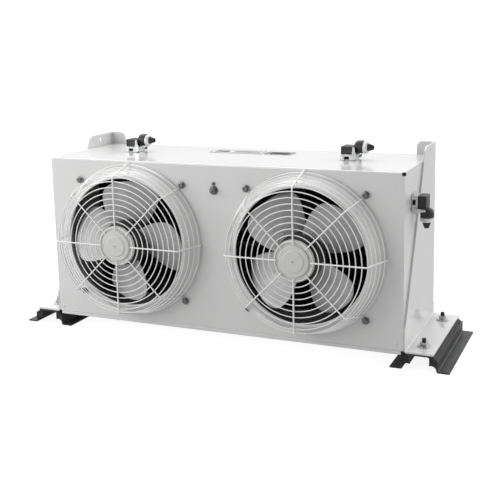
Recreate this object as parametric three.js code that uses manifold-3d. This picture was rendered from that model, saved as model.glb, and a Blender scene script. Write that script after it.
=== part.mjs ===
// Air-blast hydraulic oil cooler with two guarded fans, on bonded rubber rails.
// Millimetres, +Z up, fans face -Y, +X to the right as seen from the fan side.
// The origin is the centre of the footprint, on the surface that the rails stand on.

import * as THREE from 'three';
import { mergeVertices } from 'three/addons/utils/BufferGeometryUtils.js';
import Module from 'manifold-3d';

const wasm = await Module();
wasm.setup();

// ---------------------------------------------------------------- driving sizes

const GAP = 0.3;                       // clearance between touching pieces

const BOX_WIDTH = 930;
const BOX_DEPTH = 300;
const BOX_TOP = 448;
const SHEET = 2;                       // shroud and bottom panel
const PLATE = 4;                       // end brackets

const FOOT_TOP = 42;                   // upper face of the foot plates
const FOOT_WIDTH = 64;

const FAN_X = 229.5;
const FAN_Z = 250;
const SCREW_SPACING = 145;             // half the square of guard screws
const GUARD_DEPTH = 78;                // front panel to the plane of the flat rings

const RAIL_FLANGE = 68;                // half width of a rail
const RAIL_LEG = 41.5;                 // half width over the upright legs
const STUD_INSET = 48;                 // studs from the ends of a rail

const EAR_HEIGHT = 32;
const EAR_FRONT = 187;
const REAR_FLANGE = 47;

// ---------------------------------------------------------------- worked-out sizes

const HALF = BOX_WIDTH / 2;
const SHROUD_HALF = HALF - PLATE - GAP;
const EAR_TOP = BOX_TOP + EAR_HEIGHT;
const RAIL_X = HALF + FOOT_WIDTH / 2;
const CORE_BACK = BOX_DEPTH - PLATE - GAP;
const CORE_FRONT = CORE_BACK - 86;
const PORT_FACE = CORE_BACK + 22;
const SPOKE_RADIUS = 2.5;
const SPOKE_Y = -GUARD_DEPTH - 3.2;
const CAP_FRONT = -GUARD_DEPTH - 6;
const MID_DEPTH = (CAP_FRONT + PORT_FACE) / 2;

// ---------------------------------------------------------------- materials

function surface(name, color, roughness, metalness) {
  const material = new THREE.MeshStandardMaterial({ color, roughness, metalness });
  material.name = name;
  return material;
}

const whitePaint = surface('white_paint', 0xe6e6e4, 0.28, 0.0);
const guardWire = surface('guard_wire', 0xececea, 0.35, 0.1);
const motorPaint = surface('motor_paint', 0xd2d2d0, 0.45, 0.1);
const bladeSteel = surface('blade_steel', 0xb9bab9, 0.4, 0.6);
const zinc = surface('zinc', 0xb4b6b8, 0.35, 0.9);
const railSteel = surface('rail_steel', 0x3a3b3c, 0.5, 0.3);
const rubber = surface('rubber', 0x1c1c1c, 0.85, 0.0);
const coreAlloy = surface('core_alloy', 0x2b2c2d, 0.55, 0.4);
const dieCast = surface('die_cast', 0xc4c6c8, 0.38, 0.8);
const blackPlastic = surface('black_plastic', 0x18191a, 0.45, 0.0);
const glandPlastic = surface('gland_plastic', 0xd8d8d6, 0.4, 0.0);

// ---------------------------------------------------------------- solids

// A three.js geometry as a closed solid, with its faces turned outward.
function solid(geometry) {
  const plain = geometry.clone();
  plain.deleteAttribute('normal');
  plain.deleteAttribute('uv');
  const merged = mergeVertices(plain, 1e-4);
  const position = merged.attributes.position;
  const index = merged.index.array;
  const corners = [new THREE.Vector3(), new THREE.Vector3(), new THREE.Vector3()];
  const triangles = [];
  let volume = 0;
  for (let i = 0; i < index.length; i += 3) {
    const [a, b, c] = [index[i], index[i + 1], index[i + 2]];
    if (a === b || b === c || c === a) continue;
    triangles.push(a, b, c);
    [a, b, c].forEach((id, k) => corners[k].fromBufferAttribute(position, id));
    volume += corners[0].dot(corners[1].clone().cross(corners[2]));
  }
  if (volume < 0) {
    for (let i = 0; i < triangles.length; i += 3) {
      [triangles[i], triangles[i + 1]] = [triangles[i + 1], triangles[i]];
    }
  }
  return new wasm.Manifold(new wasm.Mesh({
    numProp: 3,
    vertProperties: Float32Array.from(position.array),
    triVerts: Uint32Array.from(triangles),
  }));
}

function joined(solids) {
  return solids.reduce((whole, piece) => whole.add(piece));
}

function cut(body, tools) {
  return tools.length ? body.subtract(joined(tools)) : body;
}

function box(x0, x1, y0, y1, z0, z1) {
  const geometry = new THREE.BoxGeometry(x1 - x0, y1 - y0, z1 - z0);
  geometry.translate((x0 + x1) / 2, (y0 + y1) / 2, (z0 + z1) / 2);
  return solid(geometry);
}

function outline(points) {
  return new THREE.Shape(points.map(([u, v]) => new THREE.Vector2(u, v)));
}

// An outline of [y, z] points, pushed along X.
function alongX(points, x0, x1) {
  const geometry = new THREE.ExtrudeGeometry(outline(points), { depth: x1 - x0, bevelEnabled: false });
  geometry.applyMatrix4(new THREE.Matrix4().makeBasis(
    new THREE.Vector3(0, 1, 0), new THREE.Vector3(0, 0, 1), new THREE.Vector3(1, 0, 0)));
  geometry.translate(x0, 0, 0);
  return solid(geometry);
}

// An outline of [x, z] points, pushed along Y.
function alongY(points, y0, y1) {
  const geometry = new THREE.ExtrudeGeometry(outline(points), { depth: y1 - y0, bevelEnabled: false });
  geometry.applyMatrix4(new THREE.Matrix4().makeBasis(
    new THREE.Vector3(1, 0, 0), new THREE.Vector3(0, 0, 1), new THREE.Vector3(0, -1, 0)));
  geometry.translate(0, y1, 0);
  return solid(geometry);
}

// A straight bar of the given number of sides between two points, tapering to endRadius.
function barGeometry(from, to, radius, sides, endRadius = radius) {
  const start = new THREE.Vector3(...from);
  const end = new THREE.Vector3(...to);
  const along = end.clone().sub(start);
  const geometry = new THREE.CylinderGeometry(endRadius, radius, along.length(), sides);
  geometry.rotateY(Math.PI / sides);
  const turn = new THREE.Quaternion().setFromUnitVectors(
    new THREE.Vector3(0, 1, 0), along.clone().normalize());
  geometry.applyQuaternion(turn);
  const middle = start.add(end).multiplyScalar(0.5);
  geometry.translate(middle.x, middle.y, middle.z);
  return geometry;
}

function bar(...sizes) {
  return solid(barGeometry(...sizes));
}

// A closed profile of [radius, y] points turned about the line x = 0, z = 0.
function turned(points, sides) {
  const profile = points.map(([radius, y]) => new THREE.Vector2(radius, y));
  const closesOnAxis = points[0][0] === 0 && points[points.length - 1][0] === 0;
  if (!closesOnAxis) profile.push(profile[0].clone());
  return solid(new THREE.LatheGeometry(profile, sides));
}

function ring(radius, y, wire, sides) {
  const geometry = new THREE.TorusGeometry(radius, wire, 3, sides);
  geometry.rotateX(Math.PI / 2);
  geometry.translate(0, y, 0);
  return solid(geometry);
}

const cooler = new THREE.Group();
cooler.position.y = -MID_DEPTH;

// Adds a solid to the assembly as a named mesh. The optional place is a Matrix4.
function addPiece(name, body, material, place) {
  const mesh = body.getMesh();
  let geometry = new THREE.BufferGeometry();
  geometry.setAttribute('position', new THREE.BufferAttribute(Float32Array.from(mesh.vertProperties), 3));
  geometry.setIndex(new THREE.BufferAttribute(Uint32Array.from(mesh.triVerts), 1));
  geometry = geometry.toNonIndexed();
  geometry.computeVertexNormals();
  const piece = new THREE.Mesh(geometry, material);
  piece.name = name;
  if (place) piece.applyMatrix4(place);
  cooler.add(piece);
}

// ---------------------------------------------------------------- housing

// The two fan centres and the four screw places around each.
const fans = [
  { side: 'left', x: -FAN_X, phase: 17.5 },
  { side: 'right', x: FAN_X, phase: -29 },
];
const screwPlaces = [[-1, 1], [1, 1], [1, -1], [-1, -1]].map(
  ([u, v]) => [u * SCREW_SPACING, v * SCREW_SPACING]);

function addShroud() {
  const bend = 4;
  const skin = alongX([
    [0, FOOT_TOP], [BOX_DEPTH - PLATE - GAP, FOOT_TOP], [BOX_DEPTH - PLATE - GAP, BOX_TOP],
    [bend, BOX_TOP], [bend * 0.29, BOX_TOP - bend * 0.29], [0, BOX_TOP - bend],
  ], -SHROUD_HALF, SHROUD_HALF);
  const inside = box(-SHROUD_HALF + SHEET, SHROUD_HALF - SHEET, SHEET, BOX_DEPTH, 0, BOX_TOP - SHEET);
  const holes = [inside];
  for (const fan of fans) {
    holes.push(bar([fan.x, -5, FAN_Z], [fan.x, 5, FAN_Z], 178, 32));
    for (const [u, v] of screwPlaces) {
      holes.push(bar([fan.x + u, -5, FAN_Z + v], [fan.x + u, 5, FAN_Z + v], 4, 8));
    }
  }
  for (const z of [386, 402]) holes.push(bar([0, -5, z], [0, 5, z], 3.4, 8));
  for (const side of [-1, 1]) {
    holes.push(bar([side * SHROUD_HALF, 1, BOX_TOP - 6], [side * SHROUD_HALF, 1, BOX_TOP + 4], 4, 8));
  }
  addPiece('shroud', cut(skin, holes), whitePaint);
}

function addBottomPanel() {
  const top = FOOT_TOP - GAP;
  const back = BOX_DEPTH - PLATE - GAP;
  const lip = 9;
  const half = SHROUD_HALF - 6;
  addPiece('bottom_panel', alongX([
    [0, top], [0, top - lip], [SHEET, top - lip], [SHEET, top - SHEET],
    [back - SHEET, top - SHEET], [back - SHEET, top - lip], [back, top - lip], [back, top],
  ], -half, half), whitePaint);
}

function addEndBracket(side) {
  const name = side < 0 ? 'end_bracket_left' : 'end_bracket_right';
  const inner = Math.min(side * (HALF - PLATE), side * HALF);
  const chamfer = 8;
  const earSlope = (EAR_FRONT - 8) / (EAR_TOP - 90);
  const plate = alongX([
    [0, FOOT_TOP - PLATE], [BOX_DEPTH, FOOT_TOP - PLATE], [BOX_DEPTH, EAR_TOP],
    [EAR_FRONT + chamfer, EAR_TOP], [EAR_FRONT - earSlope * chamfer, EAR_TOP - chamfer], [0, 90],
  ], inner, inner + PLATE);
  const foot = [side * (HALF - PLATE), side * (HALF + FOOT_WIDTH)].sort((a, b) => a - b);
  const footPlate = box(foot[0], foot[1], 0, BOX_DEPTH, FOOT_TOP - PLATE, FOOT_TOP);
  const edge = side * (HALF - REAR_FLANGE);
  const flange = alongY([
    [side * HALF, FOOT_TOP - PLATE], [edge, FOOT_TOP - PLATE], [edge, EAR_TOP - 12],
    [edge + side * 2, EAR_TOP - 5], [edge + side * 8, EAR_TOP - 1.5], [edge + side * 14, EAR_TOP],
    [side * HALF, EAR_TOP],
  ], BOX_DEPTH - PLATE, BOX_DEPTH);
  const holes = [STUD_INSET, BOX_DEPTH - STUD_INSET].map(
    (y) => bar([side * RAIL_X, y, FOOT_TOP - 10], [side * RAIL_X, y, FOOT_TOP + 5], 6, 12));
  holes.push(bar([side * (HALF - 10), 237, 467], [side * (HALF + 10), 237, 467], 6, 12));
  addPiece(name, cut(joined([plate, footPlate, flange]), holes), whitePaint);
}

// ---------------------------------------------------------------- oil side

function addRadiator() {
  const half = SHROUD_HALF - SHEET - GAP;
  const plateWidth = 12;
  const coreHalf = half - plateWidth - GAP;
  const bottom = FOOT_TOP + 2;
  const top = BOX_TOP - SHEET - 1;
  const tank = 40;
  const coreBottom = bottom + tank + GAP;
  const coreTop = top - tank - GAP;

  const tubes = 9;
  const tubeHeight = 10;
  const pitch = (coreTop - coreBottom - tubeHeight) / (tubes - 1);
  const parts = [box(-coreHalf, coreHalf, CORE_FRONT + 2, CORE_BACK - 4, coreBottom, coreTop)];
  for (let i = 0; i < tubes; i += 1) {
    const z = coreBottom + i * pitch;
    parts.push(box(-coreHalf, coreHalf, CORE_FRONT, CORE_BACK - 2, z, z + tubeHeight));
  }
  addPiece('radiator_core', joined(parts), coreAlloy);

  for (const [name, low] of [['tank_lower', bottom], ['tank_upper', top - tank]]) {
    const chamfer = 6;
    addPiece(name, alongX([
      [CORE_FRONT + chamfer, low], [CORE_BACK - 2, low], [CORE_BACK - 2, low + tank],
      [CORE_FRONT + chamfer, low + tank], [CORE_FRONT, low + tank - chamfer], [CORE_FRONT, low + chamfer],
    ], -coreHalf, coreHalf), coreAlloy);
  }
  for (const side of [-1, 1]) {
    const x = [side * half, side * (half - plateWidth)].sort((a, b) => a - b);
    addPiece(side < 0 ? 'core_side_left' : 'core_side_right',
      box(x[0], x[1], CORE_FRONT, CORE_BACK, bottom, top), coreAlloy);
  }

  const ports = [['oil_port_lower', -370, bottom + tank / 2], ['oil_port_upper', 370, top - tank / 2]];
  for (const [name, x, z] of ports) {
    const boss = bar([x, CORE_BACK - 2 + GAP, z], [x, PORT_FACE, z], 19, 24);
    const thread = bar([x, CORE_BACK + 4, z], [x, PORT_FACE + 5, z], 12, 16);
    addPiece(name, boss.subtract(thread), zinc);
  }
  const plugs = [['drain_plug', 370, bottom + tank / 2], ['vent_plug', -370, top - tank / 2]];
  for (const [name, x, z] of plugs) {
    const washer = bar([x, CORE_BACK - 2 + GAP, z], [x, CORE_BACK + 1, z], 12, 16);
    const hex = bar([x, CORE_BACK, z], [x, CORE_BACK + 9, z], 9, 6);
    addPiece(name, washer.add(hex), zinc);
  }
}

// ---------------------------------------------------------------- fans

const GUARD_RINGS = 9;
const GUARD_INNER = 45.5;
const GUARD_PITCH = 14.1;
const KINK_RADIUS = 169;
const GUARD_OUTER = 192;
const GUARD_BACK = -8;                 // plane of the guard's outermost ring
const SLOPE_RINGS = 5;
const SCREW_REACH = SCREW_SPACING * Math.SQRT2;

function polar(radius, y, degrees) {
  const angle = THREE.MathUtils.degToRad(degrees);
  return [radius * Math.cos(angle), y, radius * Math.sin(angle)];
}

// One spoke wire: flat across the rings, then down the slope to the outer ring.
function spokeSolid(degrees) {
  const angle = THREE.MathUtils.degToRad(degrees);
  const runs = [
    [[40.5, SPOKE_Y, 0], [KINK_RADIUS + 1, SPOKE_Y, 0]],
    [[KINK_RADIUS, SPOKE_Y - 1, 0], [GUARD_OUTER, GUARD_BACK + 2, 0]],
  ];
  return joined(runs.map(([from, to]) => solid(barGeometry(from, to, SPOKE_RADIUS, 4).rotateY(-angle))));
}

function guardSolid() {
  const wires = [];
  for (let i = 0; i < GUARD_RINGS; i += 1) {
    wires.push(ring(GUARD_INNER + i * GUARD_PITCH, -GUARD_DEPTH, 2, i < 4 ? 16 : 24));
  }
  for (let i = 0; i < SLOPE_RINGS; i += 1) {
    const along = (i + 0.6) / (SLOPE_RINGS - 0.4);
    const radius = THREE.MathUtils.lerp(KINK_RADIUS, GUARD_OUTER, along) - 2.6;
    wires.push(ring(radius, THREE.MathUtils.lerp(SPOKE_Y, GUARD_BACK, along), 2, 24));
  }
  for (let spoke = 0; spoke < 8; spoke += 1) {
    const degrees = spoke * 45;
    wires.push(spokeSolid(degrees));
    if (spoke % 2 === 1) {
      const [x, , z] = polar(SCREW_REACH, 0, degrees);
      const eye = bar([x, -3.3, z], [x, -GAP, z], 11, 12);
      const leg = bar(polar(GUARD_OUTER - 1, GUARD_BACK + 1, degrees), polar(SCREW_REACH - 10.4, -1.9, degrees), 1.4, 4);
      wires.push(leg, eye);
    }
  }
  const holes = screwPlaces.map(([u, v]) => bar([u, -10, v], [u, 5, v], 4, 8));
  return cut(joined(wires), holes);
}

// A wide curved blade: its leading edge is at these degrees and nearest to the guard.
function bladeSolid(degrees) {
  const geometry = new THREE.BoxGeometry(1, 1, 1, 6, 1, 5);
  const position = geometry.attributes.position;
  const root = 52.5;
  const tip = 150;
  for (let i = 0; i < position.count; i += 1) {
    const across = position.getX(i) * 2;
    const out = position.getZ(i) + 0.5;
    const radius = root + (tip - root) * out - 6 * (across * out) ** 4;
    const halfWidth = 22.5 + 18 * Math.sqrt(1 - out);
    const middle = degrees - 22.5 + 4 * (1 - out);
    const y = -12 - 26 * across + position.getY(i) * 2.5;
    position.setXYZ(i, ...polar(radius, y, middle + across * halfWidth));
  }
  return solid(geometry);
}

function addFan({ side, x, phase }) {
  const place = new THREE.Matrix4().makeTranslation(x, 0, FAN_Z);

  addPiece(`nozzle_${side}`, turned([
    [158, -36], [161, -39], [166, -36.5], [181, -6], [191, -3],
    [191, -GAP], [182, -GAP], [178.6, -4], [164.5, -33.5],
  ], 32), whitePaint, place);

  addPiece(`guard_${side}`, guardSolid(), guardWire, place);

  addPiece(`motor_stator_${side}`, turned([
    [0, CAP_FRONT], [24, CAP_FRONT], [26, -81.2], [35, -81.2], [37, -79.5], [37, -75.9], [49, -75.9],
    [49, -72],
    [22, -72], [22, -62], [6, -62], [6, 9], [0, 9],
  ], 16), motorPaint, place);

  addPiece(`motor_rotor_${side}`, turned([
    [0, 10.5], [6.4, 10.5], [6.4, -59], [47, -59], [51, -55], [51, 10], [47, 14], [0, 14],
  ], 20), motorPaint, place);

  const hub = turned([[51.5, -46], [54, -46], [54, -4], [51.5, -4]], 20);
  const blades = [0, 90, 180, 270].map((turn) => bladeSolid(phase + turn));
  const bore = bar([0, -60, 0], [0, 60, 0], 51.5, 20);
  addPiece(`impeller_${side}`, cut(joined([hub, ...blades]), [bore]), bladeSteel, place);

  screwPlaces.forEach(([u, v], i) => {
    const washer = bar([u, -3.3 - GAP - 1.8, v], [u, -3.3 - GAP, v], 9, 12);
    const head = bar([u, -10.5, v], [u, -3.3 - GAP - 1, v], 6.5, 6);
    const shank = bar([u, -3.3 - GAP - 1, v], [u, 8, v], 3.4, 8);
    addPiece(`guard_screw_${side}_${i + 1}`, joined([washer, head, shank]), zinc, place);
  });
}

// ---------------------------------------------------------------- front fittings

function addEarthStud() {
  const washer = bar([0, -GAP - 2, 386], [0, -GAP, 386], 11, 18);
  const nut = bar([0, -12, 386], [0, -GAP - 1, 386], 8.5, 6);
  const shank = bar([0, -GAP - 1, 386], [0, 8, 386], 3, 8);
  const tip = bar([0, -18, 386], [0, -11, 386], 3, 12);
  addPiece('earth_stud', joined([washer, nut, tip, shank]), zinc);
  const head = bar([0, -4, 402], [0, -GAP, 402], 4.5, 12);
  const thread = bar([0, -GAP - 1, 402], [0, 8, 402], 3, 8);
  addPiece('earth_screw', head.add(thread), zinc);
}

function addTopPlate() {
  addPiece('blank_plate', box(-105, 45, 190, 240, BOX_TOP + GAP, BOX_TOP + GAP + 1), glandPlastic);
}

// ---------------------------------------------------------------- rails

function mirrored(points, side) {
  return points.map(([u, z]) => [side * u, z]);
}

function addRail(side) {
  const rail = side < 0 ? 'left' : 'right';
  const place = new THREE.Matrix4().makeTranslation(side * RAIL_X, 0, 0);
  const plateTop = FOOT_TOP - PLATE - GAP;
  const plateBottom = plateTop - 3.7;
  const studs = [STUD_INSET, BOX_DEPTH - STUD_INSET];

  const channel = alongY([
    [-31, plateBottom], [-25, plateBottom], [-25, 14], [-22, 14], [-22, plateBottom],
    [22, plateBottom], [22, 14], [25, 14], [25, plateBottom], [31, plateBottom],
    [31, plateTop], [-31, plateTop],
  ], 0, BOX_DEPTH);
  const weldStuds = studs.map((y) => bar([0, y, plateTop - 1], [0, y, FOOT_TOP + 20], 5, 12));
  addPiece(`rail_channel_${rail}`, joined([channel, ...weldStuds]), railSteel, place);

  for (const half of [-1, 1]) {
    const where = half === side ? 'outer' : 'inner';
    const top = plateBottom - GAP;
    addPiece(`rail_rubber_${rail}_${where}`, alongY(mirrored([
      [25.3, 15], [27, 14.2], [30, 11], [34, 7], [38.2, 4.3], [38.2, 28], [31.5, top], [25.3, top],
    ], half), 1, BOX_DEPTH - 1), rubber, place);
    addPiece(`rail_angle_${rail}_${where}`, alongY(mirrored([
      [38.5, 0.8], [39.3, 0], [RAIL_FLANGE, 0], [RAIL_FLANGE, 3.5], [44.5, 3.5], [RAIL_LEG, 6.5],
      [RAIL_LEG, 28], [38.5, 28],
    ], half), 0, BOX_DEPTH), railSteel, place);
  }

  studs.forEach((y, i) => {
    const foot = FOOT_TOP + GAP;
    const washer = bar([0, y, foot], [0, y, foot + 2.5], 15, 16);
    const nut = bar([0, y, foot + 1], [0, y, foot + 11], 9.4, 6);
    const bore = bar([0, y, foot - 5], [0, y, foot + 20], 5.4, 12);
    addPiece(`foot_nut_${rail}_${i === 0 ? 'front' : 'rear'}`, cut(washer.add(nut), [bore]), zinc, place);
  });
}

// ---------------------------------------------------------------- connectors

// Drawn as it stands on a flat top: the base from x = 0 to 33, the cable leaves towards +X.
function addConnector(name, place) {
  const base = joined([
    box(0, 33, 0, 42, GAP, 15),
    box(-4, 35.5, 4, 38, GAP, 4),
    bar([34, -3, 10], [34, 45, 10], 2.5, 10),
    box(30, 35, 0.5, 41.5, 3, 14),
  ]);
  addPiece(`connector_base_${name}`, base, dieCast, place);

  const hood = joined([
    box(0.5, 32.5, 1, 41, 15 + GAP, 34),
    box(26, 44, 8, 34, 18, 33),
    bar([32, 21, 29], [52, 21, 29], 13.5, 16),
  ]);
  addPiece(`connector_hood_${name}`, hood, blackPlastic, place);

  const nut = bar([52 + GAP, 21, 29], [62, 21, 29], 13.5, 12);
  const cone = bar([61, 21, 29], [78, 21, 29], 11, 16, 6);
  addPiece(`connector_gland_${name}`, nut.add(cone), glandPlastic, place);

  const arm = [[28, 2.5], [38, 2.5], [41, 6], [41, 15], [37, 22], [36, 33], [31, 33], [30, 22], [27.5, 8]];
  const lever = joined([
    alongY(arm, -3, -1),
    alongY(arm, 43, 45),
    box(39, 41, -3, 45, 11, 15),
  ]);
  const pivot = bar([34, -8, 10], [34, 50, 10], 2.9, 10);
  addPiece(`connector_lever_${name}`, lever.subtract(pivot), dieCast, place);
}

function addConnectors() {
  const topLeft = new THREE.Matrix4().makeTranslation(-322, 139, BOX_TOP);
  const topRight = new THREE.Matrix4().makeTranslation(270, 139, BOX_TOP);
  const sideways = new THREE.Matrix4().makeTranslation(SHROUD_HALF, 61, 387)
    .multiply(new THREE.Matrix4().makeRotationY(Math.PI / 2));
  addConnector('top_left', topLeft);
  addConnector('top_right', topRight);
  addConnector('side', sideways);
}

// ---------------------------------------------------------------- assembly

addShroud();
addBottomPanel();
addRadiator();
addTopPlate();
addEarthStud();
fans.forEach(addFan);
for (const side of [-1, 1]) {
  addEndBracket(side);
  addRail(side);
}
addConnectors();

const object = new THREE.Group();
object.add(cooler);

export default object;
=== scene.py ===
import math

import bmesh
import bpy
from bpy.props import FloatProperty, FloatVectorProperty, IntProperty, PointerProperty
from mathutils import Matrix, Vector


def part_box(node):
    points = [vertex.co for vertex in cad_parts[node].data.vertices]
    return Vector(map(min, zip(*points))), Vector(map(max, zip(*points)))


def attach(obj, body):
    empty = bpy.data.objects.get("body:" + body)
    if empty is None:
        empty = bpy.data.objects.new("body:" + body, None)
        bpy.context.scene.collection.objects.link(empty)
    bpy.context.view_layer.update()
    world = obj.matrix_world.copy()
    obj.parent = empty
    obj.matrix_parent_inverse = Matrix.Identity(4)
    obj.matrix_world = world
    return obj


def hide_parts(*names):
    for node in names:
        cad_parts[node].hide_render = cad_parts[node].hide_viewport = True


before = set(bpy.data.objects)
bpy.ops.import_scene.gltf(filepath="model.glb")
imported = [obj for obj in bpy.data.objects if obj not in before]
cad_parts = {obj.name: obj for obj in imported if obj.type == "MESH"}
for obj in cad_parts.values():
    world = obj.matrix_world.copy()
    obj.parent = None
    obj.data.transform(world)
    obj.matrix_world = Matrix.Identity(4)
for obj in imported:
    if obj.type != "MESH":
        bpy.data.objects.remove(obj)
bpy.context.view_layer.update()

bl_info = {
    "name": "Hydraulic Oil Cooler",
    "version": (1, 0, 0),
    "blender": (4, 5, 0),
    "location": "View3D > Sidebar > Oil Cooler",
    "description": "Builds the visible pieces of a two-fan hydraulic oil cooler around its frame",
    "category": "Object",
}

# ---- places from the frame

# Shapes are drawn in millimetres: x to the right, y back from the front panel, z up.
MM = 0.001
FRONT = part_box("shroud")[0].y
SIDES = (("left", -1), ("right", 1))
TO_FRAME = Matrix.Translation((0, FRONT, 0)) @ Matrix.Scale(MM, 4)


def span(node):
    """A frame node's lowest and highest corner in millimetres."""
    return [TO_FRAME.inverted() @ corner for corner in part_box(node)]


def middle(node, axis):
    """The middle of a frame node along x, y or z."""
    return sum(getattr(corner, axis) for corner in span(node)) / 2


SHROUD_LOW, SHROUD_HIGH = span("shroud")
BRACKET_HIGH = span("end_bracket_right")[1]
FAN_X = middle("nozzle_right", "x")
FAN_Z = middle("nozzle_right", "z")
FAN_CENTRES = {"left": -FAN_X, "right": FAN_X}
BOX_TOP = SHROUD_HIGH.z
BOX_BOTTOM = SHROUD_LOW.z
SCREW_OFFSET = 145
# A guard's four screws about its fan's centre, clockwise from the upper left.
SCREW_PLACES = [(SCREW_OFFSET * u, SCREW_OFFSET * v) for u, v in ((-1, 1), (1, 1), (1, -1), (-1, -1))]

# ---- settings


def colour(name, shade, description):
    return FloatVectorProperty(name=name, description=description, subtype="COLOR", size=3,
                               min=0, max=1, default=shade)


def length(name, millimetres, description):
    return FloatProperty(name=name, description=description, unit="LENGTH", default=millimetres * MM)


def angle(name, degrees, description):
    return FloatProperty(name=name, description=description, subtype="ANGLE",
                         default=math.radians(degrees))


def number(name, value, description):
    return FloatProperty(name=name, description=description, default=value)


class CoolerColours(bpy.types.PropertyGroup):
    """Base colours of the finishes."""
    paint: colour("Housing paint", (0.66, 0.66, 0.657), "Gloss powder coat of the housing")
    wire: colour("Guard wire", (0.80, 0.80, 0.795), "Coating of the fan guards")
    motor: colour("Motor paint", (0.575, 0.575, 0.567), "Satin paint of the fan motors")
    blade: colour("Blade coat", (0.46, 0.46, 0.46), "Grey coat of the fan blades")
    zinc: colour("Zinc", (0.50, 0.505, 0.51), "Plating of screws, nuts and washers")
    screw: colour("Screw steel", (0.20, 0.20, 0.205), "Dark plating of the guard screws")
    rail: colour("Rail coat", (0.034, 0.035, 0.036), "Black coat of the rails")
    rail_cut: colour("Rail cut ends", (0.62, 0.62, 0.615), "Sawn ends of the rails")
    rubber: colour("Rubber", (0.014, 0.014, 0.014), "Rubber bonded into the rails")
    core: colour("Radiator coat", (0.020, 0.020, 0.021), "Black coat of the radiator")
    die_cast: colour("Die casting", (0.60, 0.605, 0.61), "Bare connector bases and levers")
    plastic: colour("Black plastic", (0.018, 0.018, 0.019), "Moulded connector hoods")
    gland: colour("Gland plastic", (0.74, 0.74, 0.73), "Pale plastic of the cable glands")


class CoolerSizes(bpy.types.PropertyGroup):
    """Sizes of the fine detail."""
    ring_wire: length("Ring wire", 2.5, "Diameter of a guard's rings")
    spoke_wire: length("Spoke wire", 3.8, "Diameter of a guard's spokes")
    ring_count: IntProperty(name="Flat rings", description="Rings in the guard's flat face",
                            default=9, min=3, max=20)
    slope_count: IntProperty(name="Slope rings", description="Rings on the guard's slope",
                             default=5, min=2, max=12)
    sheet: length("Blade sheet", 2.2, "Thickness of a fan blade")
    fin_pitch: length("Fin pitch", 4.0, "Distance between the radiator's fins")
    thread_pitch: length("Thread pitch", 1.5, "Pitch of the foot studs' thread")


class CoolerStage(bpy.types.PropertyGroup):
    """Camera and light."""
    yaw: angle("Yaw", 23.571, "Camera turned from straight ahead")
    pitch: angle("Pitch", 10.119, "Camera tipped down")
    roll: angle("Roll", -1.240, "Camera rolled")
    distance: length("Distance", 2125.4, "Camera to the point it aims at")
    aim_x: length("Aim across", 93.9, "Aimed point, right of the middle")
    aim_z: length("Aim height", 391.4, "Aimed point above the floor")
    lens: number("Lens", 65.48, "Focal length in millimetres")
    shift: number("Shift", -0.12, "Vertical lens shift")
    key: number("Key light", 15.2, "Power of the key light in watts")
    left: number("Left light", 14.0, "Power of the left light in watts")
    overhead: number("Overhead", 3.2, "Brightness of the sky overhead")
    side: number("Side", 1.87, "Brightness of the sky on the right")
    back: number("Back", 0.65, "Brightness of the sky behind")
    ambient: number("Ambient", 0.27, "Brightness all round")
    floor: number("Floor", 0.3, "Glow of the floor")


def sizes():
    """The fine sizes set on the scene."""
    return bpy.context.scene.cooler_sizes


# ---- node helpers


def add_node(tree, kind, inputs=None, **settings):
    """Adds a node; an input given another node's socket is linked, and any other is set."""
    node = tree.nodes.new(kind)
    for name, value in settings.items():
        setattr(node, name, value)
    for key, value in (inputs or {}).items():
        if isinstance(value, bpy.types.NodeSocket):
            tree.links.new(value, node.inputs[key])
        else:
            node.inputs[key].default_value = value
    return node


def reckon(tree, operation, first, second=0.0):
    """The output of a Math node."""
    return add_node(tree, "ShaderNodeMath", {0: first, 1: second}, operation=operation).outputs[0]


def combined(tree, x=0.0, y=0.0, z=0.0):
    """The output of a Combine XYZ node."""
    return add_node(tree, "ShaderNodeCombineXYZ", {"X": x, "Y": y, "Z": z}).outputs[0]


# ---- finishes


def new_material(name, **values):
    """A material with these values on its shader's own sockets, and its Object coordinates."""
    material = bpy.data.materials.new(name)
    material.use_nodes = True
    tree = material.node_tree
    shader = next(node for node in tree.nodes if node.type == "BSDF_PRINCIPLED")
    for key, value in values.items():
        shader.inputs[key.replace("_", " ")].default_value = value
    place = tree.nodes.new("ShaderNodeTexCoord").outputs["Object"]
    return material, tree, shader, place


def noise(tree, place, scale, detail=2.0, stretch=(1, 1, 1)):
    """Noise of this many features to the metre, drawn out along an axis if asked."""
    mapping = add_node(tree, "ShaderNodeMapping", {"Vector": place, "Scale": stretch})
    return add_node(tree, "ShaderNodeTexNoise", {
        "Vector": mapping.outputs[0], "Scale": scale, "Detail": detail}).outputs["Fac"]


def between(tree, factor, low, high):
    """A number that goes from low to high as the factor goes from 0.3 to 0.7."""
    return add_node(tree, "ShaderNodeMapRange", {
        "Value": factor, "From Min": 0.3, "From Max": 0.7, "To Min": low, "To Max": high},
    ).outputs["Result"]


def shaded(tree, factor, shade, darker, lighter):
    """A colour that varies from darker to lighter times the shade with the factor."""
    ends = [tuple(min(1, part * times) for part in shade) + (1,) for times in (darker, lighter)]
    mix = add_node(tree, "ShaderNodeMix", {"Factor": between(tree, factor, 0, 1)}, data_type="RGBA")
    mix.inputs[6].default_value = ends[0]
    mix.inputs[7].default_value = ends[1]
    return mix.outputs[2]


def bump(tree, shader, height, strength, distance):
    """Gives the shader a bump, distance in millimetres."""
    node = add_node(tree, "ShaderNodeBump", {
        "Height": height, "Strength": strength, "Distance": distance * MM})
    tree.links.new(node.outputs[0], shader.inputs["Normal"])


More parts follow.
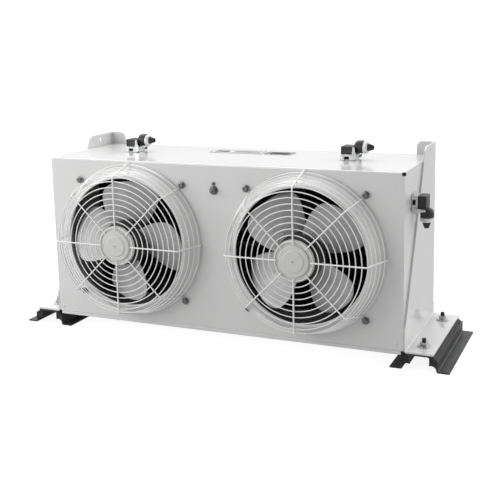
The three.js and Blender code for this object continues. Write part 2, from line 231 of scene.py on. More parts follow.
def paint_finish(name, shade, roughness, coat):
    """Powder coat: a faint orange peel, and a tone that hardly varies."""
    material, tree, shader, place = new_material(name, Coat_Weight=coat, Coat_Roughness=0.06)
    cloud = noise(tree, place, 2.5)
    peel = noise(tree, place, 260, 1.0)
    tree.links.new(shaded(tree, cloud, shade, 0.975, 1.01), shader.inputs["Base Color"])
    tree.links.new(between(tree, peel, roughness, roughness + 0.05), shader.inputs["Roughness"])
    bump(tree, shader, peel, 0.05, 0.3)
    return material


def metal_finish(name, shade, metallic, roughness, grain, stretch=(1, 1, 1), mottle=0.8):
    """Plated, cast or coated metal: mottled tone, and a grain that breaks up the gloss."""
    material, tree, shader, place = new_material(name, Metallic=metallic)
    patches = noise(tree, place, grain * 0.12, 4.0, stretch)
    fine = noise(tree, place, grain, 3.0, stretch)
    tree.links.new(shaded(tree, patches, shade, mottle, 1.08), shader.inputs["Base Color"])
    tree.links.new(between(tree, fine, roughness, roughness + 0.16), shader.inputs["Roughness"])
    bump(tree, shader, fine, 0.10, 0.15)
    return material


def grained_finish(name, shade, roughness, grain, depth):
    """Moulded plastic or rubber: a fine even grain and slightly uneven gloss."""
    material, tree, shader, place = new_material(name)
    patches = noise(tree, place, grain * 0.08, 3.0)
    cells = add_node(tree, "ShaderNodeTexVoronoi", {"Vector": place, "Scale": grain})
    tree.links.new(shaded(tree, patches, shade, 0.75, 1.25), shader.inputs["Base Color"])
    tree.links.new(between(tree, patches, roughness, roughness + 0.12), shader.inputs["Roughness"])
    bump(tree, shader, cells.outputs["Distance"], depth, 0.12)
    return material


FINISHES = {}


def make_finishes():
    """Makes every material once; the names are the record's material slots where there is one."""
    colours = bpy.context.scene.cooler_colours
    along_rail = (1, 0.06, 1)
    FINISHES.update({
        "white_paint": paint_finish("white_paint", colours.paint, 0.16, 0.35),
        "guard_wire": paint_finish("guard_wire", colours.wire, 0.30, 0.1),
        "motor_paint": paint_finish("motor_paint", colours.motor, 0.38, 0.0),
        "rotor_coat": metal_finish("rotor_coat", (0.035, 0.035, 0.036), 0.1, 0.5, 400),
        "blade_steel": metal_finish("blade_steel", colours.blade, 0.25, 0.34, 300, mottle=0.9),
        "zinc": metal_finish("zinc", colours.zinc, 0.9, 0.26, 700),
        "screw_steel": metal_finish("screw_steel", colours.screw, 0.9, 0.24, 700),
        "rail_steel": metal_finish("rail_steel", colours.rail, 0.1, 0.42, 420, along_rail, 0.5),
        "rail_cut": metal_finish("rail_cut", colours.rail_cut, 0.2, 0.45, 600),
        "rubber": grained_finish("rubber", colours.rubber, 0.62, 900, 0.3),
        "core_alloy": metal_finish("core_alloy", colours.core, 0.2, 0.45, 500),
        "die_cast": metal_finish("die_cast", colours.die_cast, 0.75, 0.30, 800),
        "black_plastic": grained_finish("black_plastic", colours.plastic, 0.34, 1400, 0.2),
        "gland_plastic": grained_finish("gland_plastic", colours.gland, 0.32, 1600, 0.05),
        # Painted shade: a near-black grained material that fills the shroud's corner notch and the
        # connector recesses, standing in for the shade that falls inside them.
        "dark_gap": grained_finish("dark_gap", (0.004, 0.004, 0.004), 0.8, 400, 0.2),
        "plate_ink": grained_finish("plate_ink", (0.05, 0.05, 0.05), 0.9, 700, 0.05),
    })


# ---- outlines


def fillet(points, radius, steps=5):
    """An outline with its corners rounded; radius is one number, or one for each corner."""
    radii = radius if isinstance(radius, (list, tuple)) else [radius] * len(points)
    corners = [Vector(point) for point in points]
    rounded = []
    for i, (corner, size) in enumerate(zip(corners, radii)):
        back = corners[i - 1] - corner
        on = corners[(i + 1) % len(corners)] - corner
        half_angle = back.angle(on) / 2
        if size <= 0 or half_angle > math.radians(89):
            rounded.append(tuple(corner))
            continue
        reach = min(size / math.tan(half_angle), back.length * 0.48, on.length * 0.48)
        size = reach * math.tan(half_angle)
        middle = corner + (back.normalized() + on.normalized()).normalized() * size / math.sin(half_angle)
        start = corner + back.normalized() * reach - middle
        end = corner + on.normalized() * reach - middle
        rounded += [tuple(middle + start.slerp(end, step / steps) * size) for step in range(steps + 1)]
    return rounded


def rectangle(u0, u1, v0, v1):
    """A rectangle's corners, going round."""
    return [(u0, v0), (u1, v0), (u1, v1), (u0, v1)]


def hexagon(reach):
    """A hexagon's corners, this far from its middle."""
    return [(reach * math.cos(math.radians(60 * k + 30)), reach * math.sin(math.radians(60 * k + 30)))
            for k in range(6)]


def circle(radius, sides):
    """A circle's corners about its middle."""
    turns = [2 * math.pi * k / sides for k in range(sides)]
    return [(radius * math.cos(turn), radius * math.sin(turn)) for turn in turns]


def quarter_turns(steps):
    """Angles that divide a quarter turn evenly, from 0 to 90 degrees."""
    return [math.pi / 2 * k / steps for k in range(steps + 1)]


# ---- solids


def moved(bm, x=0, y=0, z=0):
    bmesh.ops.translate(bm, verts=bm.verts, vec=(x, y, z))
    return bm


def transformed(bm, matrix):
    bmesh.ops.transform(bm, matrix=matrix, verts=bm.verts)
    return bm


def closed(bm):
    """Merges doubles and turns the faces outward."""
    bmesh.ops.remove_doubles(bm, verts=bm.verts, dist=1e-4)
    bmesh.ops.recalc_face_normals(bm, faces=bm.faces)
    return bm


def joined(solids):
    """Several solids as one, without cutting them."""
    whole = bmesh.new()
    for bm in solids:
        mesh = bpy.data.meshes.new("part")
        bm.to_mesh(mesh)
        bm.free()
        whole.from_mesh(mesh)
        bpy.data.meshes.remove(mesh)
    return whole


AXES = {
    "x": lambda u, v, w: (w, u, v),
    "y": lambda u, v, w: (u, w, v),
    "z": lambda u, v, w: (u, v, w),
}


def prism(points, axis, start, end):
    """An outline pushed along an axis: [y, z] along x, [x, z] along y, [x, y] along z."""
    bm = bmesh.new()
    place = AXES[axis]
    rings = [[bm.verts.new(place(u, v, w)) for u, v in points] for w in (start, end)]
    for k in range(len(points)):
        bm.faces.new((rings[0][k - 1], rings[0][k], rings[1][k], rings[1][k - 1]))
    for ring in rings:
        bm.faces.new(ring)
    return closed(bm)


def block(x0, x1, y0, y1, z0, z1):
    return prism(rectangle(x0, x1, y0, y1), "z", z0, z1)


def rod(radius, axis, start, end, at=(0, 0), sides=48):
    points = [(at[0] + u, at[1] + v) for u, v in circle(radius, sides)]
    return prism(points, axis, start, end)


def turned(profile, sides, axis="y"):
    """A closed profile of [radius, place along the axis] turned about the axis."""
    bm = bmesh.new()
    place = AXES[axis]
    rings = []
    for k in range(sides):
        turn = 2 * math.pi * k / sides
        rings.append([bm.verts.new(place(r * math.cos(turn), r * math.sin(turn), w)) for r, w in profile])
    for k in range(sides):
        before, here = rings[k - 1], rings[k]
        for j in range(len(profile)):
            if profile[j - 1][0] + profile[j][0] > 1e-6:
                bm.faces.new((before[j - 1], before[j], here[j], here[j - 1]))
    bmesh.ops.remove_doubles(bm, verts=bm.verts, dist=1e-5)
    bmesh.ops.dissolve_degenerate(bm, dist=1e-5, edges=bm.edges)
    return closed(bm)


def loose_object(name, bm):
    """An object for a solid, which is freed."""
    mesh = bpy.data.meshes.new(name)
    bm.to_mesh(mesh)
    bm.free()
    thing = bpy.data.objects.new(name, mesh)
    bpy.context.scene.collection.objects.link(thing)
    return thing


def discard(thing):
    """Removes an object and its mesh."""
    spare = thing.data
    bpy.data.objects.remove(thing)
    bpy.data.meshes.remove(spare)


def solid_from(mesh):
    """A mesh as a solid; the mesh is removed."""
    bm = bmesh.new()
    bm.from_mesh(mesh)
    bpy.data.meshes.remove(mesh)
    return bm


def evaluated_mesh(thing):
    """The object's mesh with its modifiers applied."""
    graph = bpy.context.evaluated_depsgraph_get()
    return bpy.data.meshes.new_from_object(thing.evaluated_get(graph), depsgraph=graph)


def shaped(bm, tools, operation="DIFFERENCE", merge_flats=True):
    """A solid cut by others, or joined with them; flat neighbours become one face if asked."""
    host = loose_object("host", bm)
    cutters = [loose_object("tool", tool) for tool in tools]
    for cutter in cutters:
        modifier = host.modifiers.new("shape", "BOOLEAN")
        modifier.operation = operation
        modifier.solver = "EXACT"
        modifier.object = cutter
    result = solid_from(evaluated_mesh(host))
    for thing in [host, *cutters]:
        discard(thing)
    bmesh.ops.remove_doubles(result, verts=result.verts, dist=1e-3)
    if merge_flats:
        bmesh.ops.dissolve_limit(result, angle_limit=math.radians(0.5), verts=result.verts,
                                 edges=result.edges)
    return result


def softened(bm, width, limit=40, segments=2):
    """Rounds every edge that is sharper than the limit."""
    sharp = [edge for edge in bm.edges
             if edge.is_manifold and edge.calc_face_angle(0) > math.radians(limit)]
    bmesh.ops.bevel(bm, geom=sharp, offset=width, segments=segments, profile=0.5, affect="EDGES",
                    clamp_overlap=True, loop_slide=False)
    return bm


def hex_nut(reach, start, end, axis, chamfer=1.2):
    """A hexagon with chamfered corners at its outer end."""
    body = prism(hexagon(reach), axis, start, end)
    away = 1 if end > start else -1
    cone = turned([(0, start - away), (reach + 1, start - away), (reach + 1, end - away * chamfer),
                   (reach - 1.9 * chamfer, end + away * 0.2), (0, end + away * 0.2)], 48, axis)
    return shaped(body, [cone], "INTERSECT")


def threaded_rod(radius, pitch, start, end, axis):
    """A rod with a ridged surface and a chamfered tip."""
    away = 1 if end > start else -1
    ridges = int(abs(end - start) / pitch)
    profile = [(0, start)]
    for k in range(ridges):
        place = start + away * k * pitch
        profile += [(radius, place), (radius - 0.55 * pitch, place + away * pitch / 2)]
    profile += [(radius, end - away * pitch), (radius - pitch, end), (0, end)]
    return turned(profile, 32, axis)


# ---- pieces


def finished_piece(name, mesh, finish, body="frame", stands_for=(), smooth=38):
    """Shades a mesh given in millimetres, puts it in place and lets it ride on its body."""
    if isinstance(mesh, bmesh.types.BMesh):
        bm = mesh
        mesh = bpy.data.meshes.new(name)
        bm.to_mesh(mesh)
        bm.free()
    mesh.transform(TO_FRAME)
    finishes = finish if isinstance(finish, (list, tuple)) else [finish]
    mesh.materials.clear()
    for slot_name in finishes:
        mesh.materials.append(FINISHES[slot_name])
    mesh.polygons.foreach_set("use_smooth", [True] * len(mesh.polygons))
    mesh.set_sharp_from_angle(angle=math.radians(smooth))
    thing = bpy.data.objects.new(name, mesh)
    bpy.context.scene.collection.objects.link(thing)
    weighted = thing.modifiers.new("weighted normals", "WEIGHTED_NORMAL")
    weighted.keep_sharp = True
    plain = evaluated_mesh(thing)
    thing.modifiers.clear()
    thing.data = plain
    bpy.data.meshes.remove(mesh)
    plain.name = name
    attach(thing, body)
    if stands_for:
        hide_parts(*stands_for)
    return thing


def run_tree(mesh, tree, values):
    """Runs a Geometry Nodes tree on a mesh and returns the result as a plain mesh."""
    host = bpy.data.objects.new("host", mesh)
    bpy.context.scene.collection.objects.link(host)
    modifier = host.modifiers.new("tree", "NODES")
    modifier.node_group = tree
    for item in tree.interface.items_tree:
        if item.in_out == "INPUT" and item.name in values:
            modifier[item.identifier] = values[item.name]
    result = evaluated_mesh(host)
    host.modifiers.clear()
    bpy.data.objects.remove(host)
    bpy.data.meshes.remove(mesh)
    return result


def new_tree(name, inputs):
    """A Geometry Nodes tree with a mesh input, these named inputs, and a mesh output."""
    tree = bpy.data.node_groups.new(name, "GeometryNodeTree")
    tree.interface.new_socket("Mesh", in_out="INPUT", socket_type="NodeSocketGeometry")
    for label, (kind, default) in inputs.items():
        socket = tree.interface.new_socket(label, in_out="INPUT", socket_type="NodeSocket" + kind)
        if default is not None:
            socket.default_value = default
    tree.interface.new_socket("Mesh", in_out="OUTPUT", socket_type="NodeSocketGeometry")
    entry = tree.nodes.new("NodeGroupInput")
    return tree, entry.outputs


def end_tree(tree, geometry, material):
    """Ends a tree in Realize Instances and Set Material."""
    real = add_node(tree, "GeometryNodeRealizeInstances", {"Geometry": geometry})
    painted = add_node(tree, "GeometryNodeSetMaterial", {
        "Geometry": real.outputs[0], "Material": material})
    add_node(tree, "NodeGroupOutput", {0: painted.outputs[0]})


def copies_tree():
    """Copies a piece onto each point, turned as the point's 'facing' says and spun at random."""
    tree, given = new_tree("copies_on_points", {
        "Piece": ("Object", None), "Spin Seed": ("Int", 3), "Finish": ("Material", None)})
    piece = add_node(tree, "GeometryNodeObjectInfo", {"Object": given["Piece"]})
    facing = add_node(tree, "GeometryNodeInputNamedAttribute", {"Name": "facing"},
                      data_type="FLOAT_VECTOR")
    turn = add_node(tree, "FunctionNodeEulerToRotation", {"Euler": facing.outputs[0]})
    spin = add_node(tree, "FunctionNodeRandomValue", {"Seed": given["Spin Seed"]}, data_type="FLOAT")
    spin.inputs[2].default_value = 0
    spin.inputs[3].default_value = 2 * math.pi
    spun = add_node(tree, "FunctionNodeEulerToRotation", {
        "Euler": combined(tree, y=spin.outputs[1])})
    both = add_node(tree, "FunctionNodeRotateRotation", {
        "Rotation": turn.outputs[0], "Rotate By": spun.outputs[0]}, rotation_space="LOCAL")
    copies = add_node(tree, "GeometryNodeInstanceOnPoints", {
        "Points": given["Mesh"], "Instance": piece.outputs["Geometry"], "Rotation": both.outputs[0]})
    end_tree(tree, copies.outputs[0], given["Finish"])
    return tree


def copies(name, template, places, finish, seed, body="frame", stands_for=()):
    """One piece made of copies of a template on places, each a point and the way it faces."""
    mesh = bpy.data.meshes.new(name)
    mesh.from_pydata([point for point, facing in places], [], [])
    attribute = mesh.attributes.new("facing", "FLOAT_VECTOR", "POINT")
    for entry, (point, facing) in zip(attribute.data, places):
        entry.vector = facing
    piece = loose_object("template", template)
    tree = bpy.data.node_groups.get("copies_on_points") or copies_tree()
    result = run_tree(mesh, tree, {"Piece": piece, "Spin Seed": seed, "Finish": FINISHES[finish]})
    discard(piece)
    return finished_piece(name, result, finish, body, stands_for)


FACING_FRONT = (0, 0, 0)
FACING_BACK = (0, 0, math.pi)
FACING_UP = (-math.pi / 2, 0, 0)

# ---- housing

# Thickness of the end brackets and of the folded sheet, and the play between neighbours.
PLATE = 4
SHEET = 2
GAP = 0.3
HALF_WIDTH = SHROUD_HIGH.x + GAP + PLATE
EAR_TOP = BRACKET_HIGH.z
FOOT_EDGE = BRACKET_HIGH.x
FOOT_TOP = BOX_BOTTOM
DEPTH = BRACKET_HIGH.y
RAIL_X = middle("rail_channel_right", "x")
STUD_PLACES = (48, DEPTH - 48)


def shroud_solid():
    """Front, top and side faces folded from one sheet, open below and behind."""
    side = fillet([(0, BOX_BOTTOM), (SHROUD_HIGH.y, BOX_BOTTOM), (SHROUD_HIGH.y, BOX_TOP),
                   (0, BOX_TOP)], [0, 0, 0, 4])
    plan = fillet([(SHROUD_LOW.x, 0), (SHROUD_HIGH.x, 0), (SHROUD_HIGH.x, SHROUD_HIGH.y),
                   (SHROUD_LOW.x, SHROUD_HIGH.y)], [1.6, 1.6, 0, 0])
    folded = prism(plan, "z", BOX_BOTTOM - 5, BOX_TOP + 5)
    skin = shaped(prism(side, "x", SHROUD_LOW.x - 5, SHROUD_HIGH.x + 5), [folded], "INTERSECT", False)
    inside = block(SHROUD_LOW.x + SHEET, SHROUD_HIGH.x - SHEET, SHEET, DEPTH + 10, -10, BOX_TOP - SHEET)
    fan_opening, screw_hole = 178, 4
    tools = [inside]
    for x in FAN_CENTRES.values():
        tools.append(rod(fan_opening, "y", -5, 5, (x, FAN_Z), 96))
        tools += [rod(screw_hole, "y", -5, 5, (x + u, FAN_Z + v), 16) for u, v in SCREW_PLACES]
    corner_notches = ((SHROUD_LOW.x, 2.5), (SHROUD_HIGH.x - 1.6, 4.8))
    for x, radius in corner_notches:
        tools.append(rod(radius, "z", BOX_TOP - 6, BOX_TOP + 4, (x, 2), 24))
    return shaped(skin, tools, merge_flats=False)


def bottom_panel_solid():
    """The floor of the housing, with a lip turned down all round its front and back."""
    low, high = span("bottom_panel")
    outline = fillet([
        (low.y, high.z), (low.y, low.z), (low.y + SHEET, low.z), (low.y + SHEET, high.z - SHEET),
        (high.y - SHEET, high.z - SHEET), (high.y - SHEET, low.z), (high.y, low.z), (high.y, high.z),
    ], [2.4, 0.7, 0.7, 0.8, 0.8, 0.7, 0.7, 2.4])
    return prism(outline, "x", low.x, high.x)


def bracket_solid(side):
    """Side plate with a lifting ear, an inward rear flange and an outward foot plate."""
    inner = HALF_WIDTH - PLATE
    flange_edge = HALF_WIDTH - 47
    upright = prism(fillet([
        (inner, 0), (HALF_WIDTH, 0), (HALF_WIDTH, DEPTH), (flange_edge, DEPTH),
        (flange_edge, DEPTH - PLATE), (inner, DEPTH - PLATE)],
        [0, 0, 5.5, 0, 0, 1.8]), "z", FOOT_TOP - PLATE, EAR_TOP)
    foot = prism(fillet([
        (inner, FOOT_TOP + 30), (HALF_WIDTH, FOOT_TOP + 30), (HALF_WIDTH, FOOT_TOP), (FOOT_EDGE, FOOT_TOP),
        (FOOT_EDGE, FOOT_TOP - PLATE), (inner, FOOT_TOP - PLATE)],
        [0, 0, 2.2, 0.6, 0.6, 5.5]), "y", 0, DEPTH)
    body = shaped(upright, [foot], "UNION")
    slope_start, ear_foot, ear_front = 90, BOX_TOP + 24, 196
    front = fillet([(-60, slope_start), (0, slope_start), (183.3, ear_foot), (ear_front, EAR_TOP + 0.5),
                    (ear_front, EAR_TOP + 60), (-60, EAR_TOP + 60)], [0, 6, 22, 0, 0, 0], 8)
    round_off = 14
    corner_arc = [(flange_edge + round_off - round_off * math.cos(turn),
                   EAR_TOP - round_off + round_off * math.sin(turn)) for turn in quarter_turns(8)]
    rear_corner = [(flange_edge - 5, EAR_TOP - round_off), *corner_arc,
                   (flange_edge + round_off, EAR_TOP + 5), (flange_edge - 5, EAR_TOP + 5)]
    below_bend = [(inner - 2, FOOT_TOP - PLATE - 2), (inner + 6, FOOT_TOP - PLATE - 2),
                  (inner - 2, FOOT_TOP + 4)]
    hole = 6
    tools = [
        prism(front, "x", inner - 5, HALF_WIDTH + 5),
        prism(rear_corner, "y", DEPTH - 20, DEPTH + 20),
        prism(below_bend, "y", -5, DEPTH - PLATE - 1),
        rod(hole, "x", inner - 5, HALF_WIDTH + 5, (237, 467)),
    ]
    tools += [rod(hole, "z", FOOT_TOP - 10, FOOT_TOP + 6, (RAIL_X, y)) for y in STUD_PLACES]
    solid = softened(shaped(body, tools), 1.6, 50)
    if side < 0:
        transformed(solid, Matrix.Scale(-1, 4, (1, 0, 0)))
    return closed(solid)


def domed_head(radius, height):
    """A rivet or button head that faces the front, standing on y = 0."""
    dome = [(radius * math.sin(turn), -height * math.cos(turn)) for turn in quarter_turns(6)]
    return turned([*dome, (radius, 0.2), (0, 0.2)], 24)


class COOLER_OT_housing(bpy.types.Operator):
    """Folded shroud, bottom panel, end brackets and the rivets that hold them"""
    bl_idname = "cooler.housing"
    bl_label = "Housing"

    def execute(self, context):
        finished_piece("shroud_sheet", shroud_solid(), "white_paint", stands_for=["shroud"])
        finished_piece("bottom_sheet", bottom_panel_solid(), "white_paint", stands_for=["bottom_panel"])
        for name, side in SIDES:
            finished_piece(f"bracket_{name}", bracket_solid(side), "white_paint",
                           stands_for=[f"end_bracket_{name}"])
        # Painted shade: a near-black rod inside the right top corner notch stands in for the shade seen
        # through the notch; it is not a real plug.
        plug = rod(4.6, "z", BOX_TOP - 7, BOX_TOP - 0.4, (SHROUD_HIGH.x - 1.8, 2.2), 32)
        finished_piece("corner_plug", softened(plug, 1), "dark_gap")
        rivets = [((x, 0, z), FACING_FRONT) for x, z in ((443, 57), (-450, 53))]
        copies("front_rivets", domed_head(3.4, 1.6), rivets, "white_paint", 4)
        bolts = [((side * (HALF_WIDTH - 30), DEPTH, z), FACING_BACK)
                 for side in (-1, 1) for z in (80, 200, 320, 430)]
        head = joined([turned([(0, -1.6), (9, -1.6), (9, 0.2), (0, 0.2)], 32),
                       hex_nut(5.8, -1.5, -6, "y", 0.7)])
        copies("rear_bolts", head, bolts, "zinc", 6)
        return {"FINISHED"}


def border(x0, x1, y0, y1, line):
    """Four bars, each x0, x1, y0, y1, that frame a rectangle."""
    return [(x0, x1, y0, y0 + line), (x0, x1, y1 - line, y1), (x0, x0 + line, y0, y1),
            (x1 - line, x1, y0, y1)]


def rules(x0, x1, y0):
    """Three bars above one another, where a marked plate has its lines."""
    return [(x0, x1, y0 + rise, y0 + rise + 4) for rise in (10, 20, 30)]


class COOLER_OT_blank_plate(bpy.types.Operator):
    """Plain plate on the top, with a border line and rules but no marking"""
    bl_idname = "cooler.blank_plate"
    bl_label = "Blank Plate"

    def execute(self, context):
        low, high = span("blank_plate")
        outline = fillet(rectangle(low.x, high.x, low.y, high.y), 3)
        plate = softened(prism(outline, "z", low.z, high.z - 0.2), 0.2)
        finished_piece("top_plate", plate, "gland_plastic", stands_for=["blank_plate"])
        inset, ink = 3, 0.3
        x0, x1, y0, y1 = low.x + inset, high.x - inset, low.y + inset, high.y - inset
        bars = [*border(x0, x1, y0, y1, 2.4), *rules(x0 + 60, x1 - 10, y0),
                (x0 + 10, x0 + 48, y0 + 12, y0 + 32)]
        inks = [block(*bar, high.z - ink, high.z) for bar in bars]
        finished_piece("top_plate_rules", joined(inks), "plate_ink")
        left, right = high.x + 6, high.x + 76
        sticker = [*border(left, right, y0, y1, 2.2), *rules(left + 8, right - 8, y0)]
        inks = [block(*bar, low.z, low.z + ink) for bar in sticker]
        finished_piece("sticker_rules", joined(inks), "plate_ink")
        return {"FINISHED"}


# ---- fans

GUARD_INNER = 45.5
GUARD_PITCH = 14.1
KINK_RADIUS = 169
GUARD_OUTER = 192
FLAT_HEIGHT = 78
SPOKE_HEIGHT = 81.2
OUTER_HEIGHT = 8
SPOKE_START = 40.5
SCREW_REACH = SCREW_OFFSET * math.sqrt(2)
CAP_FRONT = span("motor_stator_right")[0].y

# Turns the guard's own axes (rings in XY, outward along Z) to face the front.
TO_FRONT = Matrix.Rotation(math.pi / 2, 4, "X")


def path_curve(tree, points, bend):
    """A curve through points given as vectors, with its corners rounded."""
    line = add_node(tree, "GeometryNodeCurvePrimitiveLine")
    stops = add_node(tree, "GeometryNodeResampleCurve", {
        "Curve": line.outputs[0], "Count": len(points)})
    index = add_node(tree, "GeometryNodeInputIndex").outputs[0]
    pick = add_node(tree, "GeometryNodeIndexSwitch", {"Index": index}, data_type="VECTOR")
    while len(pick.index_switch_items) < len(points):
        pick.index_switch_items.new()
    for k, point in enumerate(points):
        tree.links.new(point, pick.inputs[k + 1])
    placed = add_node(tree, "GeometryNodeSetPosition", {
        "Geometry": stops.outputs[0], "Position": pick.outputs[0]})
    return add_node(tree, "GeometryNodeFilletCurve", {
        "Curve": placed.outputs[0], "Radius": bend, "Limit Radius": True, "Count": 5},
        mode="POLY").outputs[0]


def wired(tree, curve, radius, sides, caps):
    """A curve swept with a round wire."""
    even = add_node(tree, "GeometryNodeSetCurveRadius", {"Curve": curve, "Radius": 1.0})
    section = add_node(tree, "GeometryNodeCurvePrimitiveCircle", {
        "Resolution": sides, "Radius": radius})
    return add_node(tree, "GeometryNodeCurveToMesh", {
        "Curve": even.outputs[0], "Profile Curve": section.outputs[0], "Fill Caps": caps}).outputs[0]


def ring_curves(tree, count, radius, height):
    """Rings whose radius and height are fields of the index."""
    points = add_node(tree, "GeometryNodePoints", {
        "Count": count, "Position": combined(tree, z=height)})
    ring = add_node(tree, "GeometryNodeCurvePrimitiveCircle", {"Resolution": 96, "Radius": 1.0})
    rings = add_node(tree, "GeometryNodeInstanceOnPoints", {
        "Points": points.outputs[0], "Instance": ring.outputs[0], "Scale": radius})
    return add_node(tree, "GeometryNodeRealizeInstances", {"Geometry": rings.outputs[0]}).outputs[0]


def around(tree, curve, first_turn):
    """Four copies of a curve about the axis, a quarter turn apart."""
    points = add_node(tree, "GeometryNodePoints", {"Count": 4})
    index = add_node(tree, "GeometryNodeInputIndex").outputs[0]
    turn = reckon(tree, "ADD", reckon(tree, "MULTIPLY", index, math.pi / 2), first_turn)
    rotation = add_node(tree, "FunctionNodeEulerToRotation", {"Euler": combined(tree, z=turn)})
    spread = add_node(tree, "GeometryNodeInstanceOnPoints", {
        "Points": points.outputs[0], "Instance": curve, "Rotation": rotation.outputs[0]})
    return add_node(tree, "GeometryNodeRealizeInstances", {"Geometry": spread.outputs[0]}).outputs[0]


def guard_tree():
    """Welded wire guard: flat rings, slope rings, eight spokes, and four eyes for its screws."""
    tree, given = new_tree("fan_guard", {
        "Flat Rings": ("Int", 9), "Slope Rings": ("Int", 5), "Inner Radius": ("Float", 45.0),
        "Ring Pitch": ("Float", 14.0), "Kink Radius": ("Float", 169.0),
        "Outer Radius": ("Float", 192.0), "Flat Height": ("Float", 78.0),
        "Spoke Height": ("Float", 81.0), "Outer Height": ("Float", 8.0),
        "Spoke Start": ("Float", 40.0), "Screw Reach": ("Float", 205.0),
        "Ring Wire": ("Float", 1.5), "Spoke Wire": ("Float", 2.5), "Finish": ("Material", None)})
    index = add_node(tree, "GeometryNodeInputIndex").outputs[0]
    flat_radius = reckon(tree, "ADD", reckon(tree, "MULTIPLY", index, given["Ring Pitch"]),
                         given["Inner Radius"])
    flat = ring_curves(tree, given["Flat Rings"], flat_radius, given["Flat Height"])
    down = reckon(tree, "DIVIDE", reckon(tree, "ADD", index, 0.6),
                  reckon(tree, "SUBTRACT", given["Slope Rings"], 0.4))
    inside_spokes = 2.6
    slope_radius = add_node(tree, "ShaderNodeMapRange", {
        "Value": down, "To Min": reckon(tree, "SUBTRACT", given["Kink Radius"], inside_spokes),
        "To Max": reckon(tree, "SUBTRACT", given["Outer Radius"], inside_spokes)}).outputs[0]
    slope_height = add_node(tree, "ShaderNodeMapRange", {
        "Value": down, "To Min": given["Spoke Height"], "To Max": given["Outer Height"]}).outputs[0]
    slope = ring_curves(tree, given["Slope Rings"], slope_radius, slope_height)
    start = combined(tree, x=given["Spoke Start"], z=given["Spoke Height"])
    kink = combined(tree, x=given["Kink Radius"], z=given["Spoke Height"])
    foot = combined(tree, x=given["Outer Radius"], z=given["Outer Height"])
    foot_end = combined(tree, x=reckon(tree, "ADD", given["Outer Radius"], 1.6),
                        z=reckon(tree, "SUBTRACT", given["Outer Height"], 5.0))
    eye_edge = combined(tree, x=reckon(tree, "SUBTRACT", given["Screw Reach"], 6.5), z=1.9)
    straight = around(tree, path_curve(tree, [start, kink, foot, foot_end], 6.0), 0.0)
    diagonal = around(tree, path_curve(tree, [start, kink, foot_end, eye_edge], 6.0), math.pi / 4)
    eye = add_node(tree, "GeometryNodeCurvePrimitiveCircle", {"Resolution": 24, "Radius": 6.4})
    eye_out = add_node(tree, "GeometryNodeTransform", {
        "Geometry": eye.outputs[0],
        "Translation": combined(tree, x=given["Screw Reach"], z=1.8)})
    eyes = around(tree, eye_out.outputs[0], math.pi / 4)
    thinner = reckon(tree, "MULTIPLY", given["Spoke Wire"], 0.8)
    wires = add_node(tree, "GeometryNodeJoinGeometry")
    for curve, radius, sides, caps in (
            (flat, given["Ring Wire"], 8, False), (slope, given["Ring Wire"], 8, False),
            (straight, given["Spoke Wire"], 10, True), (diagonal, thinner, 10, True),
            (eyes, 1.5, 8, False)):
        tree.links.new(wired(tree, curve, radius, sides, caps), wires.inputs[0])
    end_tree(tree, wires.outputs[0], given["Finish"])
    return tree


class COOLER_OT_guards(bpy.types.Operator):
    """Two wire fan guards"""
    bl_idname = "cooler.guards"
    bl_label = "Fan Guards"

    def execute(self, context):
        tree = guard_tree()
        fine = sizes()
        values = {
            "Flat Rings": fine.ring_count, "Slope Rings": fine.slope_count,
            "Inner Radius": GUARD_INNER, "Ring Pitch": GUARD_PITCH, "Kink Radius": float(KINK_RADIUS),
            "Outer Radius": float(GUARD_OUTER), "Flat Height": float(FLAT_HEIGHT),
            "Spoke Height": SPOKE_HEIGHT, "Outer Height": float(OUTER_HEIGHT),
            "Spoke Start": SPOKE_START, "Screw Reach": SCREW_REACH,
            "Ring Wire": fine.ring_wire / MM / 2, "Spoke Wire": fine.spoke_wire / MM / 2,
            "Finish": FINISHES["guard_wire"]}
        for name, x in FAN_CENTRES.items():
            mesh = run_tree(bpy.data.meshes.new("empty"), tree, values)
            mesh.transform(Matrix.Translation((x, 0, FAN_Z)) @ TO_FRONT)
            finished_piece(f"guard_wires_{name}", mesh, "guard_wire", stands_for=[f"guard_{name}"],
                           smooth=60)
        return {"FINISHED"}


def guard_screw_solid():
    """Flanged hexagon screw: a dished washer, a hexagon with a dimple, facing the front."""
    washer = turned(fillet([(4, -3.6), (9, -3.6), (9, -4.6), (6.4, -5.6), (4, -5.6)],
                           [0, 0.4, 0.4, 0.3, 0], 3), 40)
    head = hex_nut(6.4, -5.0, -10.2, "y", 1.0)
    dimple = turned([(0, -11), (3.6, -11), (2.6, -9.2), (0, -9.0)], 24)
    shank = rod(3.4, "y", -5, 6, sides=20)
    return joined([washer, shaped(head, [dimple]), shank])


class COOLER_OT_guard_screws(bpy.types.Operator):
    """The eight screws that hold the guards"""
    bl_idname = "cooler.guard_screws"
    bl_label = "Guard Screws"

    def execute(self, context):
        places = [((x + u, 0, FAN_Z + v), FACING_FRONT)
                  for x in FAN_CENTRES.values() for u, v in SCREW_PLACES]
        nodes = [f"guard_screw_{name}_{k}" for name in FAN_CENTRES for k in range(1, 5)]
        copies("guard_screws", guard_screw_solid(), places, "screw_steel", 8, stands_for=nodes)
        return {"FINISHED"}


class COOLER_OT_nozzles(bpy.types.Operator):
    """Inlet nozzles: a rolled rim and a bell that lies down onto the front panel"""
    bl_idname = "cooler.nozzles"
    bl_label = "Inlet Nozzles"

    def execute(self, context):
        profile = fillet([
            (158, -36), (161, -39), (166, -36.5), (181, -6), (191, -3), (191, -0.3), (182, -0.3),
            (178.6, -4), (164.5, -33.5)], [1, 2, 4, 12, 1, 0, 2, 10, 2], 6)
        for name, x in FAN_CENTRES.items():
            bell = moved(turned(profile, 128), x, 0, FAN_Z)
            finished_piece(f"inlet_{name}", bell, "white_paint", stands_for=[f"nozzle_{name}"])
        return {"FINISHED"}


